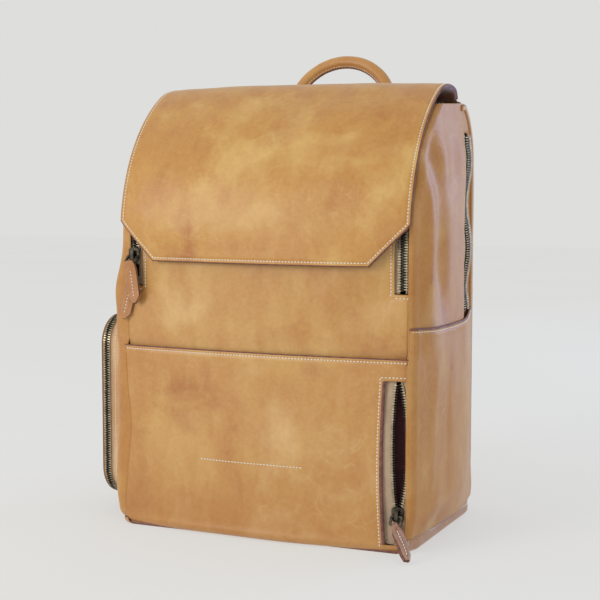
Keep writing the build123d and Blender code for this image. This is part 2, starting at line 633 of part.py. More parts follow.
# ---- shoulder straps -----------------------------------------------------------------------
BAR = 3.5                   # wire of the strap rings
ring_pairs = [(side * x, z, up) for side in (-1, 1)
              for x, z, up in ((STRAP_TOP[0], STRAP_TOP[2], 1), (STRAP_LOW[0], STRAP_LOW[2], -1))]
with BuildPart() as strap_rings:
    with BuildSketch(Plane.XZ.offset(-STRAP_TOP[1] - BAR / 2)):
        with Locations(*[(x, z + up * RING_SIZE[1] / 2) for x, z, up in ring_pairs]):
            RectangleRounded(RING_SIZE[0], RING_SIZE[1] + BAR, 3)
            RectangleRounded(RING_SIZE[0] - 2 * BAR, RING_SIZE[1] - BAR, 1.2, mode=Mode.SUBTRACT)
    extrude(amount=BAR)
save(strap_rings.part, "strap_rings")

with BuildPart() as strap_tabs:
    back_face = BACK_Y - LEATHER + BACK_PANEL_THICK
    with BuildSketch(Plane.XZ.offset(-back_face)):
        with Locations(*[(x, z + up * (RING_SIZE[1] + 4)) for x, z, up in ring_pairs]):
            Rectangle(26, 20)
    extrude(amount=-3)
    with BuildSketch(Plane.XZ.offset(-back_face)):
        with Locations(*[(x, z + up * RING_SIZE[1]) for x, z, up in ring_pairs]):
            Rectangle(20, 9)
    extrude(amount=-12)
    for x, z, up in ring_pairs:
        with BuildSketch(Plane.YZ.offset(x)):
            with Locations((STRAP_TOP[1], z + up * RING_SIZE[1])):
                Circle(2.6)
        extrude(amount=20, both=True, mode=Mode.SUBTRACT)
save(strap_tabs.part, "strap_tabs")

strap_mid = (STRAP_TOP[2] + STRAP_LOW[2]) / 2
strap_half = (STRAP_TOP[2] - STRAP_LOW[2]) / 2
BOW_R = (strap_half ** 2 + STRAP_BOW ** 2) / (2 * STRAP_BOW)
bow_centre = (STRAP_TOP[1] + STRAP_BOW - BOW_R, strap_mid)
lean = (STRAP_LOW[0] - STRAP_TOP[0]) / (STRAP_TOP[2] - STRAP_LOW[2])


def strap_x(z):
    """The strap's middle line, leaning outwards as it goes down."""
    return STRAP_TOP[0] + (STRAP_TOP[2] - z) * lean


def strap_piece(inner, outer, stations):
    """A bowed band between two distances from the bow line, cut to an outline of (z, half width)."""
    with BuildPart() as made:
        with BuildSketch(Plane.YZ.offset(0)):
            with Locations(bow_centre):
                Circle(BOW_R + outer)
                Circle(BOW_R + inner, mode=Mode.SUBTRACT)
        extrude(amount=170)
        with BuildSketch(Plane.XZ.offset(-90)):
            with BuildLine():
                Polyline(*[(strap_x(z) + w, z) for z, w in stations],
                         *[(strap_x(z) - w, z) for z, w in reversed(stations)], close=True)
            make_face()
        extrude(amount=-60, mode=Mode.INTERSECT)
    return made.part


def strap_loop(x, z):
    """The fold of leather round a ring's bar."""
    with BuildPart() as made:
        with BuildSketch(Plane.YZ.offset(x)):
            with Locations((STRAP_TOP[1], z)):
                Circle(7)
                Circle(4.2, mode=Mode.SUBTRACT)
        extrude(amount=6, both=True)
    return made.part


with BuildPart() as pad_right:
    add(strap_piece(0, STRAP_PAD_THICK, [(331, 6), (322, 13), (302, 27), (176, 27), (154, 14), (148, 13)]))
    add(strap_loop(STRAP_TOP[0], STRAP_TOP[2]))
with BuildPart() as lower_right:
    add(strap_piece(-0.2 - BAND_THICK, -0.2, [(182, 11), (178, BAND_HALF), (74, BAND_HALF), (66, 6)]))
    add(strap_loop(STRAP_LOW[0], STRAP_LOW[2]))
with BuildPart() as buckle_right:
    add(strap_piece(0.3, 3.8, [(147, 17), (125, 17)]))
    add(strap_piece(-1, 6, [(143.5, 13.5), (137.5, 13.5)]), mode=Mode.SUBTRACT)
    add(strap_piece(-1, 6, [(134.5, 13.5), (128.5, 13.5)]), mode=Mode.SUBTRACT)
for name, made in (("pad", pad_right), ("lower", lower_right), ("buckle", buckle_right)):
    save(made.part, f"strap_right_{name}")
    save(mirror(made.part, Plane.YZ), f"strap_left_{name}")
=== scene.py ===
import json
from math import acos, asin, cos, exp, hypot, pi, radians, sin, sqrt

import bmesh
import bpy
from mathutils import Matrix, Vector, noise


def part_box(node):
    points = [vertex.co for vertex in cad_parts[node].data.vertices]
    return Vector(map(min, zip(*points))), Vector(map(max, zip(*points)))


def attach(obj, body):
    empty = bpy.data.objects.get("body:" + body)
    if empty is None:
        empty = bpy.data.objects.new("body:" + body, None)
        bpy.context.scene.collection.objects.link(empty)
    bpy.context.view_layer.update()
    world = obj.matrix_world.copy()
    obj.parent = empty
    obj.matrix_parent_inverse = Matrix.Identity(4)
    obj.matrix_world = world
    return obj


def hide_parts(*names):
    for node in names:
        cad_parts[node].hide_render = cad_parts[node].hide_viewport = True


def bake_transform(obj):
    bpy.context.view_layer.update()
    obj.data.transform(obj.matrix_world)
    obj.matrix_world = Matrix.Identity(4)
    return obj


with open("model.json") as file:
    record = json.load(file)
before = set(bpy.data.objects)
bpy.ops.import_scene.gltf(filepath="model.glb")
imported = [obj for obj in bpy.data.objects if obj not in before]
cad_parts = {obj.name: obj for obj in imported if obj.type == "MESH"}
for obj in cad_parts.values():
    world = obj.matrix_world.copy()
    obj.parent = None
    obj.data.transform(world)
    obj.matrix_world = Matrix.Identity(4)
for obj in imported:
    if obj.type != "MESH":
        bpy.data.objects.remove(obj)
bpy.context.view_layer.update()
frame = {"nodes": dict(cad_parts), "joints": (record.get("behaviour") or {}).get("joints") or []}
MM = 0.001


# ---- small helpers, working in millimetres ----------------------------------------------
def box(node):
    """Lowest and highest corner of a CAD node in millimetres."""
    low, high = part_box(node)
    return Vector(low) * 1000, Vector(high) * 1000


def joint(name):
    return [j for j in frame["joints"] if j["name"] == name][0]


def pin(name):
    """A hinge's position in millimetres."""
    return Vector(joint(name)["pos_m"]) * 1000


def smooth(t):
    t = max(0.0, min(1.0, t))
    return t * t * (3 - 2 * t)


def lumps(x, y, z, size):
    """Smooth noise, about -1 to 1, whose lumps are size millimetres across."""
    return noise.noise(Vector((x, y, z)) / size)


def spread(a, b, step):
    """Evenly spaced numbers from a to b, about step apart."""
    n = max(1, int(round(abs(b - a) / step)))
    return [a + (b - a) * i / n for i in range(n + 1)]


def mirrored(half):
    """Numbers from -last to last, made from a list that runs from 0 up to last."""
    return [-v for v in reversed(half)] + half[1:]


def hump(*terms):
    """A smooth hump, 1 in its middle. Each term is a place, the hump's middle there and its width."""
    return exp(-sum(((t - middle) / width) ** 2 for t, middle, width in terms))


# distances from an edge at which a sheet has rows of vertices, so that its rim and seam show
EDGE_STEPS = [0, 0.5, 1.1, 1.9, 2.6, 3.2, 3.8, 4.8, 6.5, 9]


def up_to(end, steps=EDGE_STEPS):
    """Numbers that close in on an edge from below."""
    return [end - e for e in reversed(steps)]


def edged(a, b, step, low=True, high=True):
    """Numbers from a to b, close together near its edges, which are at a if low and at b if high."""
    first = [a + e for e in EDGE_STEPS] if low else [a]
    last = up_to(b) if high else [b]
    return first[:-1] + spread(first[-1], last[0], step) + last[1:]


def rim(d, seam=3.2, roll=0.9):
    """Height of leather at distance d from its edge: rolled over at the rim, pressed in at the seam."""
    h = -roll * max(0.0, 1 - d / 1.3) ** 2
    h -= 0.5 * hump((d, seam, 0.75))
    h += 0.22 * hump((d - seam, 2.6, 1.8))
    return h


# ---- materials ------------------------------------------------------------------------
def srgb(r, g, b):
    def lin(c):
        c /= 255
        return c / 12.92 if c <= 0.04045 else ((c + 0.055) / 1.055) ** 2.4
    return (lin(r), lin(g), lin(b), 1)


class Nodes:
    """Short calls for building a material's node tree."""

    def __init__(self, name):
        self.mat = bpy.data.materials.new(name)
        self.mat.use_nodes = True
        self.tree = self.mat.node_tree
        self.shader = self.tree.nodes["Principled BSDF"]
        self.coord = self.tree.nodes.new("ShaderNodeTexCoord").outputs["Object"]

    def link(self, out, socket):
        self.tree.links.new(out, socket)

    def mapping(self, scale, rotate=(0, 0, 0)):
        m = self.tree.nodes.new("ShaderNodeMapping")
        m.inputs["Scale"].default_value = scale
        m.inputs["Rotation"].default_value = rotate
        self.link(self.coord, m.inputs["Vector"])
        return m.outputs["Vector"]

    def noise(self, scale, detail=3, rough=0.5, warp=0, vector=None):
        n = self.tree.nodes.new("ShaderNodeTexNoise")
        n.inputs["Scale"].default_value = scale
        n.inputs["Detail"].default_value = detail
        n.inputs["Roughness"].default_value = rough
        n.inputs["Distortion"].default_value = warp
        self.link(vector or self.coord, n.inputs["Vector"])
        return n.outputs["Fac"]

    def cells(self, scale, feature="DISTANCE_TO_EDGE", vector=None, random=1):
        n = self.tree.nodes.new("ShaderNodeTexVoronoi")
        n.feature = feature
        n.inputs["Scale"].default_value = scale
        n.inputs["Randomness"].default_value = random
        self.link(vector or self.coord, n.inputs["Vector"])
        return n.outputs["Distance"]

    def ramp(self, fac, *stops):
        n = self.tree.nodes.new("ShaderNodeValToRGB")
        while len(n.color_ramp.elements) < len(stops):
            n.color_ramp.elements.new(0.5)
        for e, (at, value) in zip(n.color_ramp.elements, stops):
            e.position = at
            e.color = value if isinstance(value, tuple) else (value, value, value, 1)
        self.link(fac, n.inputs["Fac"])
        return n.outputs["Color"]

    def math(self, how, a, b):
        n = self.tree.nodes.new("ShaderNodeMath")
        n.operation = how
        for value, socket in ((a, n.inputs[0]), (b, n.inputs[1])):
            if isinstance(value, (int, float)):
                socket.default_value = value
            else:
                self.link(value, socket)
        return n.outputs[0]

    def mix(self, fac, a, b, how="MIX"):
        n = self.tree.nodes.new("ShaderNodeMix")
        n.data_type = "RGBA"
        n.blend_type = how
        for value, socket in ((fac, n.inputs[0]), (a, n.inputs[6]), (b, n.inputs[7])):
            if isinstance(value, (int, float, tuple)):
                socket.default_value = value
            else:
                self.link(value, socket)
        return n.outputs[2]

    def wave(self, scale, vector=None, direction="X", warp=0):
        n = self.tree.nodes.new("ShaderNodeTexWave")
        n.bands_direction = direction
        n.inputs["Scale"].default_value = scale
        n.inputs["Distortion"].default_value = warp
        self.link(vector or self.coord, n.inputs["Vector"])
        return n.outputs["Fac"]

    def bump(self, *layers):
        """layers are (height output, depth in metres); each is added to the last."""
        normal = None
        for height, depth in layers:
            n = self.tree.nodes.new("ShaderNodeBump")
            n.inputs["Distance"].default_value = depth
            n.inputs["Strength"].default_value = 1
            self.link(height, n.inputs["Height"])
            if normal:
                self.link(normal, n.inputs["Normal"])
            normal = n.outputs["Normal"]
        self.link(normal, self.shader.inputs["Normal"])

    def set(self, **values):
        for key, value in values.items():
            socket = self.shader.inputs[key.replace("_", " ")]
            if isinstance(value, (int, float, tuple)):
                socket.default_value = value
            else:
                self.link(value, socket)
        return self


def leather(name, base, dark, light, gloss=0.42, seed=0.0, relief=0.0009, low=0.0, shine=0.5):
    """Waxed pull-up leather: cloudy patches, pale stretch lines, fine grain and pores. low is how
    much painted shade darkens it toward the floor."""
    patch = 9.0
    n = Nodes(name)
    place = n.mapping((1, 1, 1), (seed, seed * 2, seed * 3))
    clouds = n.noise(patch, 2, 0.55, 0.6, place)
    blotch = n.noise(patch * 3.1, 3, 0.6, 0.4, place)
    both = n.math("ADD", n.math("MULTIPLY", clouds, 0.68), n.math("MULTIPLY", blotch, 0.32))
    colour = n.ramp(both, (0.36, dark), (0.46, base), (0.54, base), (0.66, light))
    # browner and yellower areas
    warm = n.noise(patch * 1.7, 2, 0.5, 0.8, n.mapping((1, 1, 1), (seed + 2, seed, seed * 2)))
    colour = n.mix(n.ramp(warm, (0.42, 0.0), (0.62, 0.5)), colour, srgb(184, 124, 62))
    colour = n.mix(n.ramp(warm, (0.3, 0.35), (0.45, 0.0)), colour, srgb(212, 172, 100))
    # pale lines where the wax has pulled away from a crease
    veins = n.cells(17, vector=n.mix(0.16, place, n.noise(14, 3, 0.6, 0, place), "LINEAR_LIGHT"))
    veined = n.ramp(veins, (0.0, 0.75), (0.03, 0.25), (0.09, 0.0))
    gate = n.ramp(n.noise(7, 2, 0.5, 0, place), (0.46, 0.0), (0.62, 0.9))
    broken = n.ramp(n.noise(46, 2, 0.5, 0, place), (0.44, 0.0), (0.58, 1.0))
    colour = n.mix(n.math("MULTIPLY", n.math("MULTIPLY", veined, gate), broken), colour, light)
    fine = n.noise(260, 3, 0.6, 0, place)
    colour = n.mix(0.16, colour, n.ramp(fine, (0.3, dark), (0.7, light)))
    streaks = n.noise(60, 2, 0.5, 0.5, n.mapping((1, 1, 0.35), (0.5, 0.3, seed)))
    colour = n.mix(0.14, colour, n.ramp(streaks, (0.35, dark), (0.65, light)))
    # painted shade: the colour darkens toward the dark tone from 15 cm down to 3 cm above the floor, with a
    # ragged edge
    if low:
        height = n.tree.nodes.new("ShaderNodeSeparateXYZ")
        n.link(n.coord, height.inputs[0])
        shade_height = n.math("ADD", height.outputs[2], n.math("MULTIPLY", blotch, 0.06))
        colour = n.mix(n.ramp(shade_height, (0.03, low), (0.15, 0.0)), colour, dark)
    rough = n.ramp(both, (0.35, gloss - 0.07), (0.6, gloss + 0.05), (0.75, gloss + 0.12))
    n.set(Base_Color=colour, Roughness=rough, Specular_IOR_Level=shine, Coat_Weight=0.24 * shine,
          Coat_Roughness=0.3, Sheen_Weight=0.12 * shine, Sheen_Roughness=0.5)
    pores = n.cells(1500, "F1", place)
    n.bump((n.noise(30, 3, 0.55, 0.3, place), relief), (n.noise(420, 3, 0.6, 0, place), 0.00022),
           (n.ramp(pores, (0.1, 0.0), (0.4, 1.0)), 0.00006))
    return n.mat


def tanned(word, base, dark, light, *more, **settings):
    """A leather from three colours, each as red, green and blue in 0 to 255."""
    return leather(word, srgb(*base), srgb(*dark), srgb(*light), *more, **settings)


# tan carries painted shade on its lowest 15 cm (low=0.35), darkening the lower front toward the floor
tan = tanned("tan_leather", (196, 145, 75), (170, 106, 48), (217, 178, 118), low=0.35)
tan_flap = tanned("tan_leather_flap", (194, 139, 60), (170, 102, 42), (218, 178, 106), seed=0.7)
tan_side = tanned("tan_leather_side", (186, 133, 72), (165, 103, 46), (204, 160, 102), 0.36, seed=1.9,
                  relief=0.0004, shine=0.26)
# the base's leather is darker and pinker than the tan: its own tone plus painted shade for the underside and
# the lips under the bag
shaded_tan_base = tanned("tan_leather_base_shaded", (168, 122, 92), (140, 94, 70), (188, 148, 120), 0.4, seed=3.3)
tan_tab = tanned("tan_leather_tab", (184, 126, 78), (158, 100, 58), (204, 156, 114), seed=5.2)
mauve = tanned("mauve_leather", (156, 114, 100), (124, 84, 74), (184, 148, 134), seed=4.1)
tan_strap = tanned("tan_leather_strap", (198, 145, 76), (174, 113, 54), (213, 168, 106), seed=2.6)


def edge_material():
    n = Nodes("painted_edge")
    tone = n.ramp(n.noise(300, 3), (0.3, srgb(98, 58, 52)), (0.7, srgb(138, 90, 80)))
    n.set(Base_Color=tone, Roughness=n.ramp(n.noise(120, 2), (0.3, 0.45), (0.7, 0.65)))
    n.bump((n.noise(900, 2), 0.0002))
    return n.mat


def suede_material(name, a, b, scale=700):
    n = Nodes(name)
    tone = n.ramp(n.noise(scale, 4, 0.7), (0.3, a), (0.7, b))
    n.set(Base_Color=tone, Roughness=0.92, Sheen_Weight=0.4, Sheen_Roughness=0.6)
    n.bump((n.noise(scale * 1.4, 3, 0.7), 0.0003), (n.noise(40, 2), 0.0006))
    return n.mat


def cloth_material(name, a, b, threads=1100, rough=0.85):
    """A plain weave with slightly uneven yarns."""
    n = Nodes(name)
    over, along, deep = [n.wave(threads / 6.28, direction=axis, warp=0.4) for axis in "XZY"]
    weave = n.math("MULTIPLY", n.math("MAXIMUM", over, deep), along)
    tone = n.mix(0.35, n.ramp(weave, (0.1, a), (0.8, b)), n.ramp(n.noise(90, 3), (0.35, a), (0.65, b)))
    n.set(Base_Color=tone, Roughness=rough, Sheen_Weight=0.25, Sheen_Roughness=0.5)
    n.bump((weave, 0.0003), (n.noise(45, 3), 0.0007))
    return n.mat


def metal_material(name, a, b, rough=0.36):
    n = Nodes(name)
    tone = n.ramp(n.noise(230, 4, 0.65), (0.32, a), (0.66, b))
    worn = n.ramp(n.noise(320, 3), (0.3, rough - 0.1), (0.7, rough + 0.16))
    n.set(Base_Color=tone, Metallic=1.0, Roughness=worn)
    n.bump((n.noise(1100, 2), 0.00008))
    return n.mat


def thread_material():
    n = Nodes("thread")
    twist = n.wave(420, n.mapping((1, 1, 1), (0.6, 0.5, 0.7)), "DIAGONAL")
    white = n.ramp(twist, (0.1, srgb(226, 214, 190)), (0.7, srgb(252, 248, 238)))
    n.set(Base_Color=white, Roughness=0.7, Sheen_Weight=0.2)
    n.bump((twist, 0.00015))
    return n.mat


edge = edge_material()
suede = suede_material("leather_flesh", srgb(150, 104, 62), srgb(178, 132, 86))
# painted shade: the flap's underside is suede darkened far below leather_flesh, standing in for the shade
# inside the flap and its fold
shaded_flap_flesh = suede_material("shaded_flap_flesh", srgb(92, 50, 32), srgb(124, 74, 46))
lining = cloth_material("lining_cloth", srgb(62, 22, 28), srgb(98, 38, 46))
tape = cloth_material("zip_tape", srgb(176, 150, 124), srgb(206, 180, 152), 1900)
brass = metal_material("antique_brass", srgb(150, 134, 104), srgb(214, 202, 172))
gunmetal = metal_material("dark_brass", srgb(44, 40, 36), srgb(104, 95, 82), 0.3)
thread = thread_material()
raw_strip = tanned("pale_strip", (205, 162, 112), (190, 142, 92), (216, 180, 134), 0.5, seed=3.3)


# ---- mesh builders -------------------------------------------------------------------------
def make(name, verts, faces, mats, mat_index=None, smooth_shade=True):
    """A mesh object from vertices in millimetres."""
    mesh = bpy.data.meshes.new(name)
    mesh.from_pydata([Vector(v) * MM for v in verts], [], faces)
    for m in mats:
        mesh.materials.append(m)
    if mat_index:
        mesh.polygons.foreach_set("material_index", mat_index)
    mesh.polygons.foreach_set("use_smooth", [smooth_shade] * len(mesh.polygons))
    mesh.validate()
    mesh.update()
    obj = bpy.data.objects.new(name, mesh)
    bpy.context.scene.collection.objects.link(obj)
    return obj


def surface_normal(P, a, b, step=0.4):
    da = Vector(P(a + step, b)) - Vector(P(a - step, b))
    db = Vector(P(a, b + step)) - Vector(P(a, b - step))
    n = da.cross(db)
    return n.normalized() if n.length > 1e-9 else Vector((0, 0, 1))


def rings(count, sides, first=0, closed=False):
    """Faces between count rings of vertices, each ring with the given number of sides."""
    faces = []
    for i in range(count if closed else count - 1):
        for m in range(sides):
            m2, i2 = (m + 1) % sides, (i + 1) % count
            faces.append([first + i * sides + m, first + i * sides + m2,
                          first + i2 * sides + m2, first + i2 * sides + m])
    return faces


def caps(count, sides, first=0):
    """The two end faces of a body made of rings."""
    last = first + (count - 1) * sides
    return [[first + m for m in reversed(range(sides))], [last + m for m in range(sides)]]


def shell(name, P, A, Bs, thick, mats, keep=None, flip=False, wrap_a=False, paint=None):
    """A closed sheet of leather over the grid A by Bs. P(a, b) is its outer face, thick its thickness
    and mats are its face, its rim and its back. keep(a, b) says which cells of the grid exist, and
    paint(a, b) which cells of the face the rim's paint laps over."""
    sign = -1 if flip else 1
    na, nb = len(A), len(Bs)
    outer = [[Vector(P(a, b)) for b in Bs] for a in A]
    back = na * nb

    def normal(i, j):
        i0, i1 = ((i - 1) % na, (i + 1) % na) if wrap_a else (max(i - 1, 0), min(i + 1, na - 1))
        j0, j1 = max(j - 1, 0), min(j + 1, nb - 1)
        n = (outer[i1][j] - outer[i0][j]).cross(outer[i][j1] - outer[i][j0])
        return n.normalized() * sign if n.length > 1e-9 else Vector((0, 0, 0))

    verts = [p for column in outer for p in column]
    for i, a in enumerate(A):
        for j, b in enumerate(Bs):
            t = thick(a, b) if callable(thick) else thick
            verts.append(outer[i][j] - normal(i, j) * t)
    faces, index, open_edges = [], [], {}
    for i in range(na if wrap_a else na - 1):
        for j in range(nb - 1):
            i2 = (i + 1) % na
            cell = (A[i] + A[i2]) / 2, (Bs[j] + Bs[j + 1]) / 2
            if keep and not keep(*cell):
                continue
            q = [i * nb + j, i2 * nb + j, i2 * nb + j + 1, i * nb + j + 1]
            if flip:
                q = q[::-1]
            faces += [q, [v + back for v in reversed(q)]]
            index += [1 if paint and paint(*cell) else 0, len(mats) - 1]
            for e in zip(q, q[1:] + q[:1]):
                if e[::-1] in open_edges:
                    del open_edges[e[::-1]]
                else:
                    open_edges[e] = True
    for a, b in open_edges:
        faces.append([b, a, a + back, b + back])
        index.append(1)
    alive = sorted({v for f in faces for v in f})
    renumber = {v: k for k, v in enumerate(alive)}
    return make(name, [verts[v] for v in alive], [[renumber[v] for v in f] for f in faces], mats, index)


def stations(path, distances):
    """For each distance along path, a list of (position, outward): the place, outward and along."""
    points = [Vector(p) for p, _ in path]
    lengths = [0.0]
    for p, q in zip(points, points[1:]):
        lengths.append(lengths[-1] + (q - p).length)
    k = 0
    for d in distances(lengths[-1]):
        while k < len(lengths) - 2 and lengths[k + 1] < d:
            k += 1
        t = (d - lengths[k]) / max(lengths[k + 1] - lengths[k], 1e-9)
        up = Vector(path[k][1]).lerp(Vector(path[k + 1][1]), t).normalized()
        yield points[k].lerp(points[k + 1], t), up, (points[k + 1] - points[k]).normalized()


# a stitch's sections: place along it, radius and height, as shares of its length and thickness
STITCH_SECTIONS = [(-0.5, 0.25, -0.55), (-0.38, 0.8, -0.05), (0.0, 1.0, 0.28), (0.38, 0.8, -0.05),
                   (0.5, 0.25, -0.55)]
STITCH_SIDES = 6


def stitch_mesh(name, runs, length=2.2, dia=1.2, pitch=3.0):
    """A row of thread stitches. runs is a list of [(position, outward), ...]."""
    def places(total):
        count = max(1, int(total / pitch))
        return [total / count * (s + 0.5) for s in range(count)]

    verts, faces = [], []
    for run in runs:
        for s, (middle, up, along) in enumerate(stations(run, places)):
            side = up.cross(along).normalized()
            slant = 0.08 * ((s * 7919) % 5 - 2) / 2
            along = (along + side * slant).normalized()
            side = up.cross(along).normalized()
            first = len(verts)
            for u, r, h in STITCH_SECTIONS:
                centre = middle + along * (u * length) + up * (h * dia)
                for m in range(STITCH_SIDES):
                    a = 2 * pi * m / STITCH_SIDES
                    verts.append(centre + (side * cos(a) + up * sin(a) * 0.8) * (dia / 2 * r))
            faces += rings(len(STITCH_SECTIONS), STITCH_SIDES, first)
            faces += caps(len(STITCH_SECTIONS), STITCH_SIDES, first)
    return make(name, verts, faces, [thread])


def sew(name, body, runs, *sizes):
    """A row of stitches that rides on body."""
    return settle(stitch_mesh(name, runs, *sizes), body, "leather")


def on_surface(P, path, sign=1, lift=0.1, step=1.5):
    """A stitch run along a path of (a, b) on a surface."""
    fine = []
    for (a0, b0), (a1, b1) in zip(path, path[1:]):
        n = max(1, int(hypot(a1 - a0, b1 - b0) / step))
        fine += [(a0 + (a1 - a0) * i / n, b0 + (b1 - b0) * i / n) for i in range(n)]
    fine.append(path[-1])
    run = []
    for a, b in fine:
        up = surface_normal(P, a, b) * sign
        run.append((Vector(P(a, b)) + up * lift, up))
    return run


def join(name, objs):
    """Join meshes into one named object."""
    if len(objs) == 1:
        objs[0].name = name
        return objs[0]
    for o in bpy.context.selected_objects:
        o.select_set(False)
    for o in objs:
        o.select_set(True)
    bpy.context.view_layer.objects.active = objs[0]
    bpy.ops.object.join()
    objs[0].name = name
    return objs[0]


def settle(obj, body, slot, *nodes):
    """Ride and replace in one call; slot is not used."""
    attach(obj, body)
    if nodes:
        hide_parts(*nodes)
    return obj


# ---- sizes read from the frame ---------------------------------------------------------------
HALF = 141.6                                        # half the width of the leather across the body
FRONT = box("mouth_panel")[0].y                     # outer face of the upper front
POCKET = box("front_pocket_panel")[0].y             # outer face of the pocket on the front
SEAM_Z = box("front_pocket_panel")[1].z             # top edge of that pocket
NOTCH_X = box("mouth_panel")[1].x                   # leather's edge beside the main zip
HINGE_Z = box("mouth_panel")[0].z                   # bottom of the main zip
TOP_Z = box("top_panel")[1].z
SIDE_X = box("side_panel_right")[1].x
BACK = box("back_wall")[1].y
SHOULDER_Y, SHOULDER_Z = 56.2, 270.2                # centre of the arc of the upper front
REAR_Y, REAR_R = 40.0, 52.0                         # centre and radius of the arc at the rear top
REAR_Z = TOP_Z - REAR_R
FRONT_R = SHOULDER_Y - FRONT
TOP_FRONT_Y = -24.0
ARC_END = acos((SHOULDER_Y - TOP_FRONT_Y) / FRONT_R)
B_TOP = SHOULDER_Z + FRONT_R * ARC_END              # distances along the wrap
Z_TOP_FRONT = SHOULDER_Z + FRONT_R * sin(ARC_END)
TOP_RUN = hypot(REAR_Y - TOP_FRONT_Y, TOP_Z - Z_TOP_FRONT)
B_REAR = B_TOP + TOP_RUN
B_BACK = B_REAR + REAR_R * pi / 2


def wrap(b):
    """The body's profile: (y, z, normal y, normal z) at distance b up the front and over the top."""
    if b <= SHOULDER_Z:
        return FRONT, b, -1, 0
    if b <= B_TOP:
        a = (b - SHOULDER_Z) / FRONT_R
        return SHOULDER_Y - FRONT_R * cos(a), SHOULDER_Z + FRONT_R * sin(a), -cos(a), sin(a)
    if b <= B_REAR:
        t = (b - B_TOP) / TOP_RUN
        return TOP_FRONT_Y + (REAR_Y - TOP_FRONT_Y) * t, Z_TOP_FRONT + (TOP_Z - Z_TOP_FRONT) * t, -0.04, 1
    if b <= B_BACK:
        a = (b - B_REAR) / REAR_R
        return REAR_Y + REAR_R * sin(a), REAR_Z + REAR_R * cos(a), sin(a), cos(a)
    return BACK, REAR_Z - (b - B_BACK), 1, 0


def on_wrap(x, b, out):
    """A point at x and at distance b along the wrap, raised by out from it."""
    y, z, ny, nz = wrap(b)
    return (x, y + ny * out, z + nz * out)


FOOT_Z, FOOT_R = 14, 11.5                           # the side panel's rounded lower corners


def arc(r, d):
    """The other leg of a right triangle with hypotenuse r and leg d."""
    return sqrt(max(0.0, r ** 2 - d ** 2))


def side_edge(z, front):
    """Where the side panel's outline is at height z: its front or rear y."""
    if z <= FOOT_Z:
        foot = FOOT_R - arc(FOOT_R, FOOT_Z - z)
        return FRONT + foot if front else BACK - foot
    if front:
        return FRONT if z <= SHOULDER_Z else SHOULDER_Y - arc(FRONT_R, z - SHOULDER_Z)
    return BACK if z <= REAR_Z else REAR_Y + arc(REAR_R, z - REAR_Z)


def pull_in(y, z):
    """How far the right side draws in toward the rear seam and toward the base."""
    rear = smooth((y - 15) / 80)
    low = smooth((45 - z) / 45)
    corner = 6.5 * smooth((y - 60) / 60) * (max(0.0, 1 - z / 26)) ** 1.5
    return 6.0 * rear * (0.7 + 0.3 * smooth(z / 60)) + 4.5 * low * (1 - rear) + corner


def round_in(y, z):
    """How far the lower left corner at the front is rounded off."""
    return 3.0 * (1 - sqrt(1 - max(0.0, min(1.0, (12 - z) / 12)) ** 2)) * smooth((-45 - y) / 40)


def seam_in(z, right):
    """How far the front seam has wandered in from the left corner; at the bottom it bulges out."""
    if right:
        return 0.0
    return 5.0 * hump((z, 96, 34)) - 2.5 * hump((z, 20, 16))


def corner_bulge(z, right):
    """How far the side leather swells out just behind the front corner."""
    if right:
        return 1.5 * smooth(z / 40) * smooth((SEAM_Z - z) / 60)
    low = (5.2 + 0.8 * hump((z, 12, 12))) * smooth((z + 10) / 20) * smooth((SEAM_Z + 10 - z) / 50)
    return low + 4.6 * hump((z, 222, 22)) + 2.0 * hump((z, 185, 14))


# ---- front -------------------------------------------------------------------------------
MOUTH_SHIFT, MOUTH_SHIFT_LEFT = 3.8, 2.0            # the mouth's leather hangs outward on both sides


def front_crown(x, b):
    """How far the front leather stands forward of the frame."""
    across = max(0.0, 1 - (x / HALF) ** 2)
    c = 10.5 * across * (1 - 0.55 * smooth((b - 240) / 120))
    c *= 1 - 0.85 * smooth((abs(x) - 98) / 24) * smooth((b - HINGE_Z + 22) / 24)
    c += 1.3 * lumps(x, 7, b, 75) * across
    # a soft dent beside the end of the right-hand zip
    c -= 2.6 * hump((x, 98, 24), (b, 218, 20))
    c += 1.6 * hump((x, 66, 20), (b, 226, 34))
    return c


def front_face(x, b):
    h = 0
    if b > HINGE_Z - 0.5:
        h = rim(max(0.0, NOTCH_X - abs(x)), 3.4)
    elif abs(x) > NOTCH_X - 1:
        h = rim(max(0.0, HINGE_Z - b), 3.4)
    c = front_crown(x, b) + h - 1.5 * max(0.0, 1 - (HALF - abs(x)) / 3) ** 2
    left = smooth(-x / NOTCH_X)
    shift = MOUTH_SHIFT * (1 - left) - MOUTH_SHIFT_LEFT * left
    x += shift * smooth((b - HINGE_Z + 14) / 16) * (1 - smooth((abs(x) - NOTCH_X) / (HALF - NOTCH_X)))
    return on_wrap(x, b, c)


zip_cut = up_to(NOTCH_X)
xs_half = spread(0, zip_cut[0], 6) + zip_cut[1:] + [NOTCH_X + 0.01] + spread(NOTCH_X + 3, HALF, 5)
xs_front = mirrored(xs_half)
bs_front = spread(SEAM_Z - 8, HINGE_Z - 9, 5) + up_to(HINGE_Z)[1:] + spread(HINGE_Z + 2, B_TOP + 4, 5)
front_leather = shell("front_leather", front_face, xs_front, bs_front, 2.2, (tan, edge, lining),
                      keep=lambda x, b: b < HINGE_Z or abs(x) < NOTCH_X)


# ---- pocket on the front --------------------------------------------------------------------
POCKET_R = 9.0                                      # radius of its lower edge
B_CORNER = SEAM_Z - POCKET_R
POCKET_FLOOR = B_CORNER + POCKET_R * pi / 2
ZIP_IN, ZIP_LOW, ZIP_HIGH = 121.0, 7.0, 151.5       # the slot for its zip
ZIP_BOW = 2.6                                       # the pocket's edge beside the zip bows away from it


def pocket_wrap(b):
    """The pocket's profile, from its top edge down and under: y and z."""
    if b <= B_CORNER:
        return POCKET, SEAM_Z - b
    if b <= POCKET_FLOOR:
        a = (b - B_CORNER) / POCKET_R
        return POCKET + POCKET_R * (1 - cos(a)), POCKET_R * (1 - sin(a))
    return POCKET + POCKET_R + (b - POCKET_FLOOR), 0


